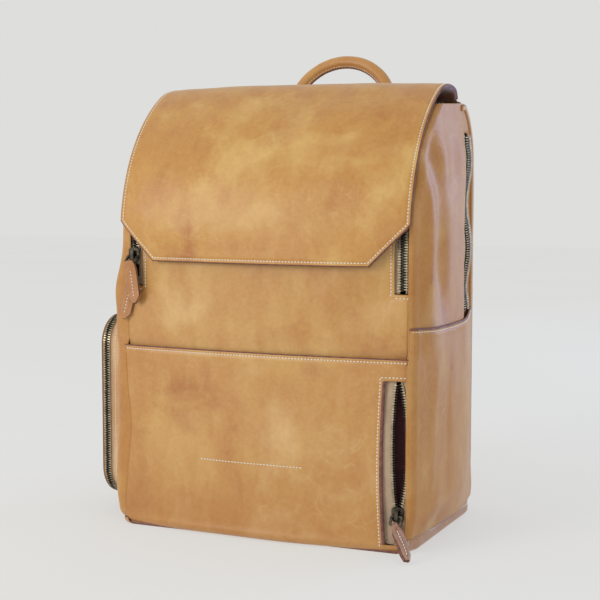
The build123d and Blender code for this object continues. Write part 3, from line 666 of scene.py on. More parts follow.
def pocket_face(x, b):
    y, z = pocket_wrap(b)
    up_the_zip = max(0.0, min(1.0, (z - ZIP_LOW) / (ZIP_HIGH - ZIP_LOW)))
    bowed = ZIP_BOW * sin(pi * up_the_zip) * smooth((x - 60) / 50) * (x <= ZIP_IN)
    across = max(0.0, 1 - (x / HALF) ** 2)
    under = max(0.0, 1 - (b - POCKET_FLOOR) / 8) if b > POCKET_FLOOR else 1
    c = 8.2 * across + 3.5 * across * hump((z, 60, 60)) if b <= B_CORNER else 11 * across
    c *= under
    c += 1.5 * lumps(x, 3, z, 60) * across
    crease = hump((x + 122 - 5 * sin(z / 38), 0, 9))
    c -= 2.2 * crease * smooth(z / 30) * smooth((SEAM_Z - z) / 25)
    h = rim(min(b, 40), 3.4)
    if x > ZIP_IN - 10 and ZIP_LOW < z < ZIP_HIGH:
        h = min(h, rim(max(0.0, ZIP_IN - x), 4.6))
    if x > ZIP_IN - 1 and z >= ZIP_HIGH:
        h = min(h, rim(max(0.0, z - ZIP_HIGH), 3.2))
    tucked = 1.6 * max(0.0, 1 - (HALF - abs(x)) / 3) ** 2
    if x < 0:
        bowed -= seam_in(z, False) * smooth((-x - 90) / 50)
    bowed += pull_in(y, z) * smooth((x - 130) / 12)
    bowed -= round_in(y, z) * smooth((-x - 110) / 20)
    return (x - bowed, y - (c + h) * under + tucked, z)


zip_edge = up_to(ZIP_IN)
xs_pocket = spread(-HALF, zip_edge[0], 5) + zip_edge[1:] + [ZIP_IN + 0.01] + spread(ZIP_IN + 3, HALF, 4)
b_zip_top, b_zip_low = SEAM_Z - ZIP_HIGH, SEAM_Z - ZIP_LOW
bs_pocket = (EDGE_STEPS + up_to(b_zip_top, EDGE_STEPS[:7]) + spread(b_zip_top + 3, B_CORNER, 5)
             + spread(B_CORNER + 1.5, POCKET_FLOOR, 1.6) + [POCKET_FLOOR + 4, POCKET_FLOOR + 9])
bs_pocket = sorted(set(round(b, 3) for b in bs_pocket))


def pocket_thick(x, b):
    """The pocket's leather is doubled beside its zip."""
    return 2.4 + 2.2 * smooth((x - ZIP_IN + 6) / 5) * (x <= ZIP_IN)


def in_slot(b):
    return b_zip_top < b < b_zip_low


pocket_leather = shell("front_pocket_leather", pocket_face, xs_pocket, bs_pocket, pocket_thick,
                       (tan, edge, lining), flip=True, keep=lambda x, b: not (x > ZIP_IN and in_slot(b)),
                       paint=lambda x, b: b < 1.5 or ZIP_IN - 2.6 < x < ZIP_IN and in_slot(b))

# ---- flap -----------------------------------------------------------------------------------
FLAP_LOW, FLAP_HIGH = box("flap")
FLAP_R = SHOULDER_Y - FLAP_LOW.y
FLAP_HALF = FLAP_HIGH.x
HEM = pin("flap_open")
CHAMFER = 36.0
RIDGE = (-22.0, 404.0)                              # y and z where the front's arc ends
RIDGE_SLOPE, RIDGE_R, HEM_R = radians(30.0), 60.0, 12.0
A_RIDGE = acos((SHOULDER_Y - RIDGE[0]) / FLAP_R)
FLAP_LENGTHS = [SHOULDER_Z - FLAP_LOW.z, FLAP_R * A_RIDGE, RIDGE_R * radians(45), HEM_R * radians(65), 1.5]
FLAP_TOTAL = sum(FLAP_LENGTHS)


def flap_profile(b):
    """The flap's outer face from its front edge (b = 0) to the hem: y, z, normal."""
    if b <= FLAP_LENGTHS[0]:
        return FLAP_LOW.y, FLAP_LOW.z + b, -1, 0
    b -= FLAP_LENGTHS[0]
    if b <= FLAP_LENGTHS[1]:
        a = b / FLAP_R
        return SHOULDER_Y - FLAP_R * cos(a), SHOULDER_Z + FLAP_R * sin(a), -cos(a), sin(a)
    b -= FLAP_LENGTHS[1]
    heading = RIDGE_SLOPE
    y, z = RIDGE
    for length, r in ((FLAP_LENGTHS[2], RIDGE_R), (FLAP_LENGTHS[3], HEM_R)):
        part = min(b, length)
        turn = part / r
        cy, cz = y + r * sin(heading), z - r * cos(heading)
        y, z = cy - r * sin(heading - turn), cz + r * cos(heading - turn)
        heading -= turn
        b -= part
    y, z = y + cos(heading) * b, z + sin(heading) * b
    return y, z, -sin(heading), cos(heading)


def flap_half(b):
    """Half the flap's width at distance b from its front edge."""
    return FLAP_HALF - CHAMFER * max(0.0, 1 - b / CHAMFER)


def flap_edge_distance(x, b):
    d = min(FLAP_HALF - abs(x), b)
    return min(d, (b + FLAP_HALF - abs(x) - CHAMFER) / sqrt(2))


def flap_face(x, b):
    y, z, ny, nz = flap_profile(b)
    across = max(0.0, 1 - (x / FLAP_HALF) ** 2)
    toward_hem = smooth((FLAP_TOTAL - b) / 70)
    c = 10.0 * across * (1 - 0.55 * smooth((b - 60) / 130)) * toward_hem
    inside = smooth(flap_edge_distance(x, b) / 30)
    c += (1.5 * lumps(x, 11, b, 85) + 0.7 * lumps(x, 5, b, 32)) * toward_hem * inside
    c += 1.6 * sin(x / 44 + 0.6) * hump((b, 0, 22))
    pressed = 1.8 * hump((abs(x), FLAP_HALF, 16)) * smooth(b / 60) * toward_hem * 0.4
    c += rim(max(0.0, flap_edge_distance(x, b)), 3.4) - pressed
    return (x, y + ny * c, z + nz * c)


flap_fracs = mirrored([f / FLAP_HALF for f in edged(0, FLAP_HALF, 6, low=False)])
HEM_BAND = 34                                       # rows are closer together where the flap folds at its hem
bs_flap = [b for b in edged(0, FLAP_TOTAL, 4, high=False) if b < FLAP_TOTAL - HEM_BAND]
bs_flap += spread(FLAP_TOTAL - HEM_BAND, FLAP_TOTAL, 1.6)
# the flap's back is the darkened flesh, which paints the shade under the flap
flap_leather = shell("flap_leather", lambda f, b: flap_face(f * flap_half(b), b), flap_fracs, bs_flap,
                     lambda f, b: 4.0 + smooth((b - FLAP_TOTAL + 70) / 30), (tan_flap, edge, shaded_flap_flesh),
                     paint=lambda f, b: flap_edge_distance(f * flap_half(b), b) < 1.4)
inset = 3.4                                         # of the stitches from the edge
corner = inset * (sqrt(2) - 1)
flap_path = [(FLAP_HALF - CHAMFER - corner, inset), (FLAP_HALF - inset, CHAMFER + corner),
             (FLAP_HALF - inset, FLAP_TOTAL - 4)]
flap_path = [(-x, b) for x, b in reversed(flap_path)] + flap_path
flap_stitches = stitch_mesh("flap_stitches", [on_surface(flap_face, flap_path)])

# ---- side panels ------------------------------------------------------------------------------
SLIP_LOW, SLIP_HIGH = box("side_slip_pocket")
LAPTOP_Y = pin("laptop_swing").y
ZIP_GAP = 7.5                                       # from the middle of the laptop zip to the leather
LAPTOP_LOW, LAPTOP_HIGH = 200.0, 368.0
POCKET_STEP = 4.6                                   # the front pocket stands this far out from the front
CORNER_END = radians(22)                            # the right corner ends while it faces this far forward
CORNER_R, CORNER_R_LOW, CORNER_R_LEFT = 8.5, 5.5, 9.5
SIDE_RUN = 150                                      # about how far it is from the corner to the laptop zip


def corner_r(z, right):
    """Radius of the front corner in plan, tighter beside the open pocket zip."""
    low = CORNER_R_LOW if right else CORNER_R_LEFT
    return CORNER_R + (low - CORNER_R) * smooth((SEAM_Z + 50 - z) / 50)


def corner_y(z):
    """The front face that the side leather is sewn to: the pocket's, and above its seam the front's."""
    return side_edge(z, True) - 1.2 - (POCKET_STEP * smooth((SEAM_Z + 6 - z) / 12) if z < SEAM_Z + 6 else 0)


def side_out(y, z, right):
    """How far a side panel bulges beyond its frame."""
    f, r = side_edge(z, True), side_edge(z, False)
    rise = 1 - max(0.0, 1 - max(0.0, y - f - 8) / 34) ** 2 if right else smooth((y - f) / 16)
    env = rise * smooth((min(r, LAPTOP_Y - ZIP_GAP + 3) - y) / (44 if right else 26))
    out = 8.0 * env * smooth(z / 40) * smooth((388 - z) / 60)
    if right:
        ridge = y + 66 + 12 * smooth((z - 290) / 70)
        fold = 3.6 * hump((ridge, 0, 12)) - 4.2 * hump((ridge, 24, 15)) + 1.6 * hump((ridge, 44, 15))
        fade = smooth((385 - z) / 50) * smooth(z / 60) * smooth((z - 185) / 60)
        out += fold * fade * smooth((y - f) / 8)
        across = (y + 20) * 0.93 - (z - 310) * 0.36
        out -= 1.8 * hump((across, 0, 16)) * env * smooth((z - 215) / 50) * smooth((385 - z) / 40)
        out += 1.8 * hump((y, 20, 16), (z, 345, 30))
    else:
        puckers = (0.75 + 0.5 * sin(z / 27 + 0.6)) * smooth(z / 40) * smooth((300 - z) / 60)
        out += 4.2 * hump((y - f, 7, 9)) * puckers
        out -= 4.0 * hump((y, -62, 20), (z, 262, 30))
        out -= 2.5 * hump((y, 10, 18), (z, 250, 40))
    out += (1.8 * lumps(y, 9 + 20 * right, z, 70) + (0.12 if right else 0.4) * lumps(y, 3, z, 24)) * env
    return max(out, -1.5)


def side_z(row, y):
    """Rows follow the outline's top, which slopes a little."""
    top = min(Z_TOP_FRONT + (TOP_Z - Z_TOP_FRONT) * (y - TOP_FRONT_Y) / (REAR_Y - TOP_FRONT_Y), TOP_Z)
    return row + (top - Z_TOP_FRONT) * smooth((row - 360) / (Z_TOP_FRONT - 360)) if row > 360 else row


def zip_wave(z, right):
    """The laptop zip wanders on the right: along y, and in and out. Its slider needs a straight left leg."""
    if not right:
        return 0.0, 0.0
    sway = cos((z - 260) / 13.5) * smooth((z - LAPTOP_LOW) / 25) * smooth((LAPTOP_HIGH - z) / 25)
    return 1.4 * sway, 1.8 * sway


def side_face(s, row, right):
    """s runs -1..0 round the front corner, 0..1 to the laptop zip, 1..2 over it and 2..3 to the rear."""
    z = row
    r = corner_r(z, right)
    f = corner_y(z) + r
    rear = side_edge(z, False)
    start = SIDE_X + corner_bulge(z, right) + side_out(f, z, right) - (pull_in(f, z) if right else 0)
    if s < 0:
        inner = HALF - 3 - seam_in(z, right) - (0 if right or z < SEAM_Z + 50 else 3)
        h = rim((1 + s) * r * pi / 2, 2.6, 0.7) * 0.8
        if right:
            a = CORNER_END - s * (pi / 2 - CORNER_END)
            x = inner + (start - inner) * cos(a) / cos(CORNER_END)
            y = f - r * (sin(a) - sin(CORNER_END)) / (1 - sin(CORNER_END))
            return (x + h * cos(a), y - h * sin(a), side_z(row, y))
        a = -s * pi / 2
        x = inner + (start - inner) * cos(a)
        y = f - r * sin(a)
        tuck = 1.4 * smooth(-s * 1.3) * smooth((z - SEAM_Z + 4) / 8) * smooth((HINGE_Z + 12 - z) / 20)
        return (round_in(y, z) - x - h * cos(a), y - h * sin(a) + tuck, side_z(row, y))
    wave_y, wave_x = zip_wave(z, right)
    y1 = min(LAPTOP_Y - ZIP_GAP + wave_y, rear - 9)
    y2 = min(LAPTOP_Y + ZIP_GAP * 0.7 + wave_y, rear - 4)
    y = f + (y1 - f) * s if s <= 1 else (y1 + (y2 - y1) * (s - 1) if s <= 2 else y2 + (rear - y2) * (s - 2))
    h = 0
    slot = LAPTOP_LOW < z < LAPTOP_HIGH
    if slot and s <= 1:
        h = rim(max(0.0, y1 - y), 3.0, 1.2)
    if slot and s >= 2:
        h = rim(max(0.0, y - y2), 3.0, 0.8)
    h += wave_x * smooth((y - 35) / 20) * smooth((rear - y) / 14)
    h += corner_bulge(z, right) * hump((y, f, 26))
    seam = 1.3 * max(0.0, 1 - (rear - y) / 2.5) ** 2
    x = SIDE_X + side_out(y, z, right) + h - seam
    return (x - pull_in(y, z) if right else round_in(y, z) - x, y, side_z(row, y))


side_ss = ([-1, -0.96, -0.91, -0.85, -0.78, -0.7, -0.6, -0.5, -0.38, -0.25, -0.12, 0]
           + spread(0.03, 0.93, 0.025) + [1 - e / SIDE_RUN for e in (7, 5, 3.8, 3.0, 2.2, 1.2, 0.5)]
           + [1, 1.25, 1.5, 1.75, 2, 2.03, 2.1, 2.2, 2.35, 2.6, 2.85, 3])
side_rows = ([2.6, 4, 6, 8, 11, 14] + spread(18, LAPTOP_LOW, 4) + [LAPTOP_LOW + 0.01]
             + spread(LAPTOP_LOW + 3, LAPTOP_HIGH - 0.01, 3.5) + [LAPTOP_HIGH]
             + spread(LAPTOP_HIGH + 3, Z_TOP_FRONT - 3, 3) + [Z_TOP_FRONT - 1.2, Z_TOP_FRONT])


def rear_seam(sx, draw):
    """The rear seam's welt, two raw edges sewn together and painted, and its row of stitches."""
    start = B_REAR + 2
    verts, run = [], []
    stops = spread(start, B_BACK + 330, 4)
    for b in stops:
        y, z, ny, nz = wrap(b)
        sunk = 3.6 * (1 - smooth((b - start) / 16))
        y, z = y - ny * sunk, z - nz * sunk
        uneven = 0.5 * lumps(y, 2, z, 40)
        tip = 1.9 + uneven
        shoulder = 1.0 + uneven
        for u, v in ((-3.4, -1.0), (-3.4, 0.9), (shoulder, 0.9), (tip, 0.5), (tip, -0.6), (shoulder, -1.0)):
            verts.append((sx * (SIDE_X + 0.6 + v) - draw(y, z), y + ny * u, z + nz * u))
        run.append(((sx * (SIDE_X + 1.55) - draw(y, z), y - ny * 1.5, z - nz * 1.5), (sx, 0, 0)))
    faces = rings(len(stops), 6)
    index = [1 if k % 6 in (2, 3, 4) else 0 for k in range(len(faces))] + [0, 0]
    faces += caps(len(stops), 6)
    return verts, [f[::-1] for f in faces] if sx > 0 else faces, index, run


for word, right, sx in (("right", True, 1), ("left", False, -1)):
    P = lambda s, row: side_face(s, row, right)
    panel = shell(f"side_leather_{word}", P, side_ss, side_rows, 2.2, (tan_side, edge, lining),
                  keep=lambda s, row: not (1 < s < 2 and LAPTOP_LOW < row < LAPTOP_HIGH), flip=not right)
    settle(panel, "bag", "leather", f"side_panel_{word}")
    verts, faces, index, run = rear_seam(sx, pull_in if right else lambda y, z: 0.0)
    settle(make(f"rear_welt_{word}", verts, faces, (raw_strip, edge), index), "bag", "leather")
    sew(f"rear_welt_stitches_{word}", "bag", [run], 2.2, 0.8, 3.1)
    # stitches down both sides of the laptop zip
    runs = [on_surface(P, [(s, LAPTOP_LOW + 2), (s, LAPTOP_HIGH - 2)], sx, 0.1, 3)
            for s in (1 - 3.0 / SIDE_RUN, 2 + 3.0 / 19)]
    sew(f"laptop_zip_stitches_{word}", "bag", runs)

# ---- top and back ---------------------------------------------------------------------------
CROSS_B = B_REAR + REAR_R * radians(30)             # middle of the laptop zip over the rear top


def back_face(x, b):
    y, z = wrap(b)[:2]
    h = -1.2 * max(0.0, 1 - (HALF - abs(x)) / 3) ** 2
    if abs(b - CROSS_B) < 16:
        h = min(h, rim(max(0.0, abs(b - CROSS_B) - ZIP_GAP), 3.0))
    h += 0.8 * lumps(x, 4, b, 50) * smooth((HALF - abs(x)) / 20)
    return on_wrap(x - pull_in(y, z) * smooth((x - 70) / 70), b, h)


back_xs = [-HALF, -HALF + 1, -HALF + 2.5] + spread(-HALF + 6, HALF - 6, 8) + [HALF - 2.5, HALF - 1, HALF]
top_bs = edged(B_TOP + 25, CROSS_B - ZIP_GAP, 4)
low_bs = edged(CROSS_B + ZIP_GAP, B_BACK + 50, 5, high=False) + spread(B_BACK + 60, B_BACK + REAR_Z - 3, 14)
top_leather = shell("top_leather", back_face, back_xs, top_bs, 2.2, (tan, edge, lining))
settle(top_leather, "bag", "leather", "top_panel")
back_leather = shell("back_leather", back_face, back_xs, low_bs, 2.2, (tan_side, edge, lining))
settle(back_leather, "bag", "leather", "back_wall")
sew("top_stitches", "bag", [on_surface(back_face, [(-HALF + 3, b), (HALF - 3, b)], 1, 0.1, 4)
                            for b in (B_TOP + 28.2, CROSS_B - 10.7, CROSS_B + 10.7)])

# hem strip: where the flap is sewn to the top
HEM_END = 16.0


def hem_face(x, t):
    """t runs back from the fold of the flap: up over the hem and flat along the top."""
    y0, z0, flat_z = HEM.y + 0.4, HEM.z + 0.4, TOP_Z + 2.1
    if t < 6:
        y, z = y0 + 2.4 * t / 6 * t / 6 + 0.3 * t, z0 + (flat_z - z0) * smooth(t / 6)
    else:
        y, z = y0 + 4.2 + (t - 6), flat_z
        if y > REAR_Y:
            z -= REAR_R - sqrt(REAR_R ** 2 - (y - REAR_Y) ** 2)
    return (x, y, z + rim(min(HEM_END - t, FLAP_HALF - 2 - abs(x)), 3.0, 0.6))


hem_ts = [0, 0.8, 1.6, 2.4, 3.2, 4, 5, 6, 7, 8.5, 10, 11, 11.8, 12.6, 13.2, 13.8, 14.6, 15.3, HEM_END]
hem_xs = edged(-FLAP_HALF + 2, FLAP_HALF - 2, 7)
hem = shell("flap_hem", hem_face, hem_xs, hem_ts, 1.9, (tan_flap, edge, suede))
settle(hem, "bag", "leather")
sew("flap_hem_stitches", "bag", [on_surface(hem_face, [(-FLAP_HALF + 5, t), (FLAP_HALF - 5, t)], 1, 0.1, 4)
                                 for t in (8.4, 13.0)])

# padded back panel
PAD_LOW, PAD_HIGH = box("back_panel")
PAD_R, PAD_R_LOW = 44, 22                           # radius of its upper and lower corners
QUILT_X, QUILT_ZS = 46, (120, 250)                  # its quilted channels


def pad_half(z):
    """Half the back panel's width at height z, with its rounded corners."""
    top, low = PAD_HIGH.z - PAD_R, PAD_LOW.z + PAD_R_LOW
    if z > top:
        return PAD_HIGH.x - PAD_R + arc(PAD_R, z - top)
    if z < low:
        return PAD_HIGH.x - PAD_R_LOW + arc(PAD_R_LOW, low - z)
    return PAD_HIGH.x


def pad_face(f, z):
    """f is the share of the half width, -1 to 1."""
    x = f * pad_half(z)
    d = min(pad_half(z) - abs(x), z - PAD_LOW.z, PAD_HIGH.z - z)
    if z > PAD_HIGH.z - PAD_R and abs(x) > PAD_HIGH.x - PAD_R:
        d = PAD_R - hypot(abs(x) - PAD_HIGH.x + PAD_R, z - PAD_HIGH.z + PAD_R)
    d = max(d, 0.0)
    channel = min(abs(abs(x) - QUILT_X), 60)
    cross = min(abs(z - at) for at in QUILT_ZS)
    puff = 3.6 * smooth((d - 4) / 16) * (1 - hump((channel, 0, 9))) * (1 - hump((cross, 0, 9)))
    y = PAD_HIGH.y - 1.2 + rim(d, 4.2, 1.4) + puff + 0.5 * lumps(x, 6, z, 26) * smooth(d / 20)
    return (x, y, z)


pad_fs = mirrored([0, 0.05, 0.1, 0.15, 0.2, 0.25, 0.28, 0.3, 0.315, 0.33, 0.345, 0.36, 0.38, 0.42, 0.47, 0.52,
                   0.58, 0.64, 0.7, 0.76, 0.82, 0.88, 0.92, 0.945, 0.96, 0.97, 0.978, 0.986, 0.993, 1.0])
pad_steps = (0.05, 0.5, 1.2, 2.2, 3.2, 4.2, 5.2, 7, 10, 14)
pad_zs = ([PAD_LOW.z + e for e in pad_steps] + spread(PAD_LOW.z + 19, PAD_HIGH.z - 18, 5)
          + up_to(PAD_HIGH.z, pad_steps))
back_pad = shell("back_padding", pad_face, pad_fs, pad_zs, 4.6, (tan_side, edge, suede), flip=True)
settle(back_pad, "bag", "leather", "back_panel")


def pad_run(path, step=3):
    """Stitches along a path of (x, z) on the back panel."""
    run = []
    for (x0, z0), (x1, z1) in zip(path, path[1:] + path[-1:]):
        n = max(1, int(hypot(x1 - x0, z1 - z0) / step))
        for i in range(n):
            x, z = x0 + (x1 - x0) * i / n, z0 + (z1 - z0) * i / n
            run.append((Vector(pad_face(x / pad_half(z), z)) + Vector((0, 0.1, 0)), Vector((0, 1, 0))))
    return run


PAD_INSET = 4.2                                     # of the border's stitches


def pad_arc(radius, z, turn, steps):
    """A quarter of a circle in a corner of the back panel, inside its edge."""
    r = radius - PAD_INSET
    quarter = [pi / 2 * k / steps for k in range(steps + 1)]
    return [(PAD_HIGH.x - radius + r * cos(a), z + turn * r * sin(a)) for a in quarter]


border = list(reversed(pad_arc(PAD_R_LOW, PAD_LOW.z + PAD_R_LOW, -1, 8)))
border += [(PAD_HIGH.x - PAD_INSET, z) for z in spread(PAD_LOW.z + 26, PAD_HIGH.z - PAD_R, 6)]
border += pad_arc(PAD_R, PAD_HIGH.z - PAD_R, 1, 12)
quilting = [pad_run(border + [(-x, z) for x, z in reversed(border)] + [border[0]])]
quilting += [pad_run([(x, PAD_LOW.z + 6), (x, PAD_HIGH.z - 6)]) for x in (-QUILT_X, QUILT_X)]
quilting += [pad_run([(-PAD_HIGH.x + 6, z), (PAD_HIGH.x - 6, z)]) for z in QUILT_ZS]
sew("back_padding_stitches", "bag", quilting)

# ---- base ---------------------------------------------------------------------------------
BASE_LOW, BASE_HIGH = box("base_panel")
BASE_FRONT = POCKET - 0.6


def base_half(y):
    """Half the base's width at y, with corners rounded in plan."""
    r = 7.0
    d = min(y - BASE_FRONT, BASE_HIGH.y - y)
    proud = 1.8 - 3.2 * smooth((-74 - y) / 12)
    return BASE_HIGH.x + proud - r + arc(r, max(0.0, r - d))


FLAT_END, TURN_END, BASE_R = 0.8, 0.9, 4.5          # of the base's section: see base_face


def base_face(s, y):
    """The base leather's section, from the left lip at s = -1 under the bag to the right lip at 1. It is
    flat up to FLAT_END and turned up with radius BASE_R by TURN_END."""
    t = abs(s)
    lip = BASE_HIGH.z + 5 * smooth((-30 - y) / 60)
    begins, length = (6, 16) if s < 0 else (2, 8)
    full = BASE_HIGH.z if s < 0 else lip
    lip = 5.5 + (full - 5.5) * smooth((y - BASE_FRONT - begins) / length)
    half = base_half(y) - (pull_in(y, 0) if s > 0 else 0)
    if t < FLAT_END:
        x, z = t / FLAT_END * (half - BASE_R), 0.0
    elif t < TURN_END:
        a = (t - FLAT_END) / 0.1 * pi / 2
        x, z = half - BASE_R + BASE_R * sin(a), BASE_R - BASE_R * cos(a)
    else:
        wall = lip - BASE_R
        x, z = half, BASE_R + (t - TURN_END) / 0.1 * wall
        x += rim((1 - t) / 0.1 * wall, 2.8, 0.5)
    if s < 0:
        x -= round_in(y, z) * smooth(t / FLAT_END)
    return (x if s > 0 else -x, y, z)


base_ss = mirrored([0, 0.2, 0.4, 0.6, 0.75, FLAT_END, 0.825, 0.85, 0.875, TURN_END, 0.91, 0.92, 0.93, 0.945,
                    0.96, 0.967, 0.974, 0.985, 0.993, 1.0])
base_steps = (0, 0.3, 0.8, 1.6, 2.8, 4.5)
base_ys = ([BASE_FRONT + e for e in base_steps] + spread(BASE_FRONT + 7, BASE_HIGH.y - 7, 5)
           + up_to(BASE_HIGH.y, base_steps))
# the base leather's darker, pinker colour carries painted shade for the bag's underside
base = shell("base_leather", base_face, base_ss, base_ys, 2.0, (shaded_tan_base, edge, suede), flip=True)
settle(base, "bag", "leather", "base_panel")
base_runs = [[((base_face(sx, y)[0] - sx * 0.1, y, base_face(1, y)[2] - 2.8), (sx, 0, 0))
              for y in spread(BASE_LOW.y + 3, BASE_HIGH.y - 3, 3)] for sx in (-1, 1)]
sew("base_stitches", "bag", base_runs)

# ---- slip pocket on the right ------------------------------------------------------------------
SLIP_BACK = SLIP_HIGH.y + 3
SLIP_FRONT = -98.0                                  # about where its corner meets the front
SLIP_TALL = 184                                     # about its height, as SIDE_RUN is the side's length
SLIP_R = CORNER_R_LOW + 0.5
SLIP_OUT = SIDE_X + 1.2


def slip_top(y):
    return SLIP_HIGH.z - 1.5 + 3.0 * ((y + 20) / 90) ** 2 * (1 if y < 0 else 1.4)


def slip_face(s, t):
    """s below 0 runs round the front corner and from 0 is y beyond it; t runs 0..1 up to the top edge."""
    y0 = SLIP_FRONT + SLIP_R
    low = pull_in(y0, SLIP_LOW.z + (slip_top(y0) - SLIP_LOW.z) * t)
    r = min(SLIP_R, SLIP_OUT - low - (HALF - 3))
    z = SLIP_LOW.z + (slip_top(y0 + max(0.0, s)) - SLIP_LOW.z) * t
    front = corner_y(z) - 1.0
    top_rim = rim((1 - t) * (SLIP_HIGH.z - SLIP_LOW.z), 3.4)
    if s < 0:
        a = CORNER_END + min(1.0, -s) * (pi / 2 - CORNER_END)
        h = top_rim + rim((1 + s) * r * pi / 2, 2.6, 0.7) * 0.8
        across = r * cos(a) / cos(CORNER_END)
        ahead = r * (sin(a) - sin(CORNER_END)) / (1 - sin(CORNER_END))
        return (SLIP_OUT - r + across + h * cos(a) - pull_in(y0, z), front + r - ahead - h * sin(a), z)
    y = front + r + (SLIP_BACK - front - r) * s / (SLIP_BACK - y0)
    u = (y - front - r) / (SLIP_BACK - front - r)
    env = max(0.0, 4 * u * (1 - u)) ** 0.85
    out = 1.2 + 10.5 * env * (0.62 + 0.38 * smooth(z / 60)) * (1 - 0.18 * smooth((z - 120) / 80))
    out += 1.8 * lumps(y, 15, z, 65) * env + 0.25 * lumps(y, 25, z, 24) * env
    ridge = y + 60 - 0.08 * (z - 100)
    out += 3.2 * hump((ridge, 0, 8.5)) * smooth(z / 50) * env
    out -= 4.2 * hump((ridge, 20, 13)) * smooth(z / 60) * env
    out = max(out, side_out(y, z, True) + 1.8) + top_rim
    return (SIDE_X + max(out, 0.9) - pull_in(y, z), y, z)


slip_ts = spread(0, 0.94, 0.025) + [1 - e / SLIP_TALL for e in (9, 6.5, 4.8, 3.8, 3.2, 2.6, 1.9, 1.1, 0.5, 0)]
slip_ss = ([-1, -0.95, -0.9, -0.84, -0.77, -0.68, -0.56, -0.42, -0.28, -0.14]
           + spread(0, SLIP_BACK - SLIP_FRONT - SLIP_R, 3.5))
slip = shell("slip_pocket_leather", slip_face, slip_ss, slip_ts, 2.0, (tan_side, edge, suede),
             paint=lambda s, t: t > 1 - 2.0 / SLIP_TALL)
settle(slip, "bag", "leather", "side_slip_pocket")
slip_path = [(s, 1 - 3.4 / SLIP_TALL) for s in (-0.75, -0.4, 0.5, SLIP_BACK + 90)]
sew("slip_pocket_stitches", "bag", [on_surface(slip_face, slip_path, 1, 0.1, 3)])

# ---- zips ---------------------------------------------------------------------------------------
TOOTH = 2.3                                         # spacing of the teeth in one row
# station across the chain: distance from the middle, half length along it, half thickness
TOOTH_SHAPE = [(3.9, 0.35, 0.75), (3.6, 0.62, 1.15), (1.3, 0.62, 1.3), (0.6, 0.5, 1.2), (-0.7, 0.42, 0.85)]


TOOTH_INDEX = [1 if u < 2 and m == 1 else 0 for u in range(len(TOOTH_SHAPE) - 1) for m in range(4)] + [0, 0]


def zip_row(name, path, side, phase=0.0, wide=1.0):
    """One row of teeth along path, a list of (position, outward), on one side of it."""
    def places(total):
        return [(i + 0.25 + phase) * TOOTH for i in range(int(total / TOOTH))]

    verts, faces, index = [], [], []
    for middle, up, along in stations(path, places):
        out = along.cross(up).normalized() * side
        first = len(verts)
        for u, w, h in TOOTH_SHAPE:
            centre = middle + out * (u * wide)
            for a, v in ((-1, -0.7), (-0.75, 1), (0.75, 1), (1, -0.7)):
                verts.append(centre + along * (w * a) + up * (h * v))
        faces += rings(len(TOOTH_SHAPE), 4, first) + caps(len(TOOTH_SHAPE), 4, first)
        index += TOOTH_INDEX
    if side < 0:
        faces = [f[::-1] for f in faces]
    return make(name, verts, faces, (gunmetal, brass), index, False)


def fix_normals(obj):
    """Turn every face of a closed mesh outward."""
    bm = bmesh.new()
    bm.from_mesh(obj.data)
    bmesh.ops.recalc_face_normals(bm, faces=bm.faces)
    bm.to_mesh(obj.data)
    bm.free()
    return obj


def ribbon(path, near, far, lift=-0.35, thick=0.7):
    """A strip of tape beside a row of teeth. near and far are distances from the chain's middle,
    far may be a function of 0..1 along it."""
    points = [Vector(p) for p, _ in path]
    n, across = len(points), 5
    verts = []
    for i, p in enumerate(points):
        up = Vector(path[i][1]).normalized()
        edge_at = far(i / (n - 1)) if callable(far) else far
        out = (points[min(i + 1, n - 1)] - points[max(i - 1, 0)]).normalized().cross(up).normalized()
        for layer in (0, 1):
            for k in range(across):
                u = near + (edge_at - near) * k / (across - 1)
                verts.append(p + out * u + up * (lift - layer * thick))
    w = 2 * across
    around = list(range(across)) + list(range(w - 1, across - 1, -1))
    faces = [[v // w * w + around[v % w] for v in f] for f in rings(n, w) + caps(n, w)]
    return fix_normals(make("ribbon", verts, faces, (tape,), None, False))


def bead(path, at, radius=0.75, sides=6):
    """The cord along the edge of the tape, under the teeth."""
    points = []
    for i, (p, up) in enumerate(path):
        q0, q1 = Vector(path[max(i - 1, 0)][0]), Vector(path[min(i + 1, len(path) - 1)][0])
        out = (q1 - q0).normalized().cross(Vector(up)).normalized()
        points.append(Vector(p) + out * at - Vector(up) * 0.2)
    n = len(points)
    verts, top = [], None
    for i, p in enumerate(points):
        along = (points[min(i + 1, n - 1)] - points[max(i - 1, 0)]).normalized()
        side = along.cross(top or along.orthogonal()).normalized()
        top = side.cross(along).normalized()
        for m in range(sides):
            a = 2 * pi * m / sides
            verts.append(p + side * (radius * cos(a)) + top * (radius * sin(a)))
    return make("bead", verts, rings(n, sides) + caps(n, sides), (tape,))


def zip_half(word, nodes, body, path, side, far, phase, wide=1.0):
    """One half of a zip: a row of teeth on one side of path, and its tape and cord out to far.
    word and nodes are the start and end of the names of its pieces and of its CAD nodes."""
    start, end = word
    settle(zip_row(f"{start}_row_{end}", path, side, phase, wide), body, "teeth", f"{start}_teeth_{nodes}")
    cloth = [ribbon(path, side * 3.3, side * far), bead(path, side * 3.3)]
    settle(join(f"{start}_cloth_{end}", cloth), body, "tape", f"{start}_tape_{nodes}")


# main zip: up both sides of the front and over the top
PIN_OUT = 5.5                                       # a pull's pin stands this far outside the teeth
MAIN_PIN = pin("main_upper_swing")
MAIN_X = abs(MAIN_PIN.x)
MAIN_OUT = FRONT - MAIN_PIN.y - PIN_OUT             # how far the teeth stand out, or lie in if it is below 0
CROSS = B_TOP + 13.0                                # where the zip crosses the top, along the wrap
U_CORNER = 7.0
MAIN_LOW = HINGE_Z + 0.6


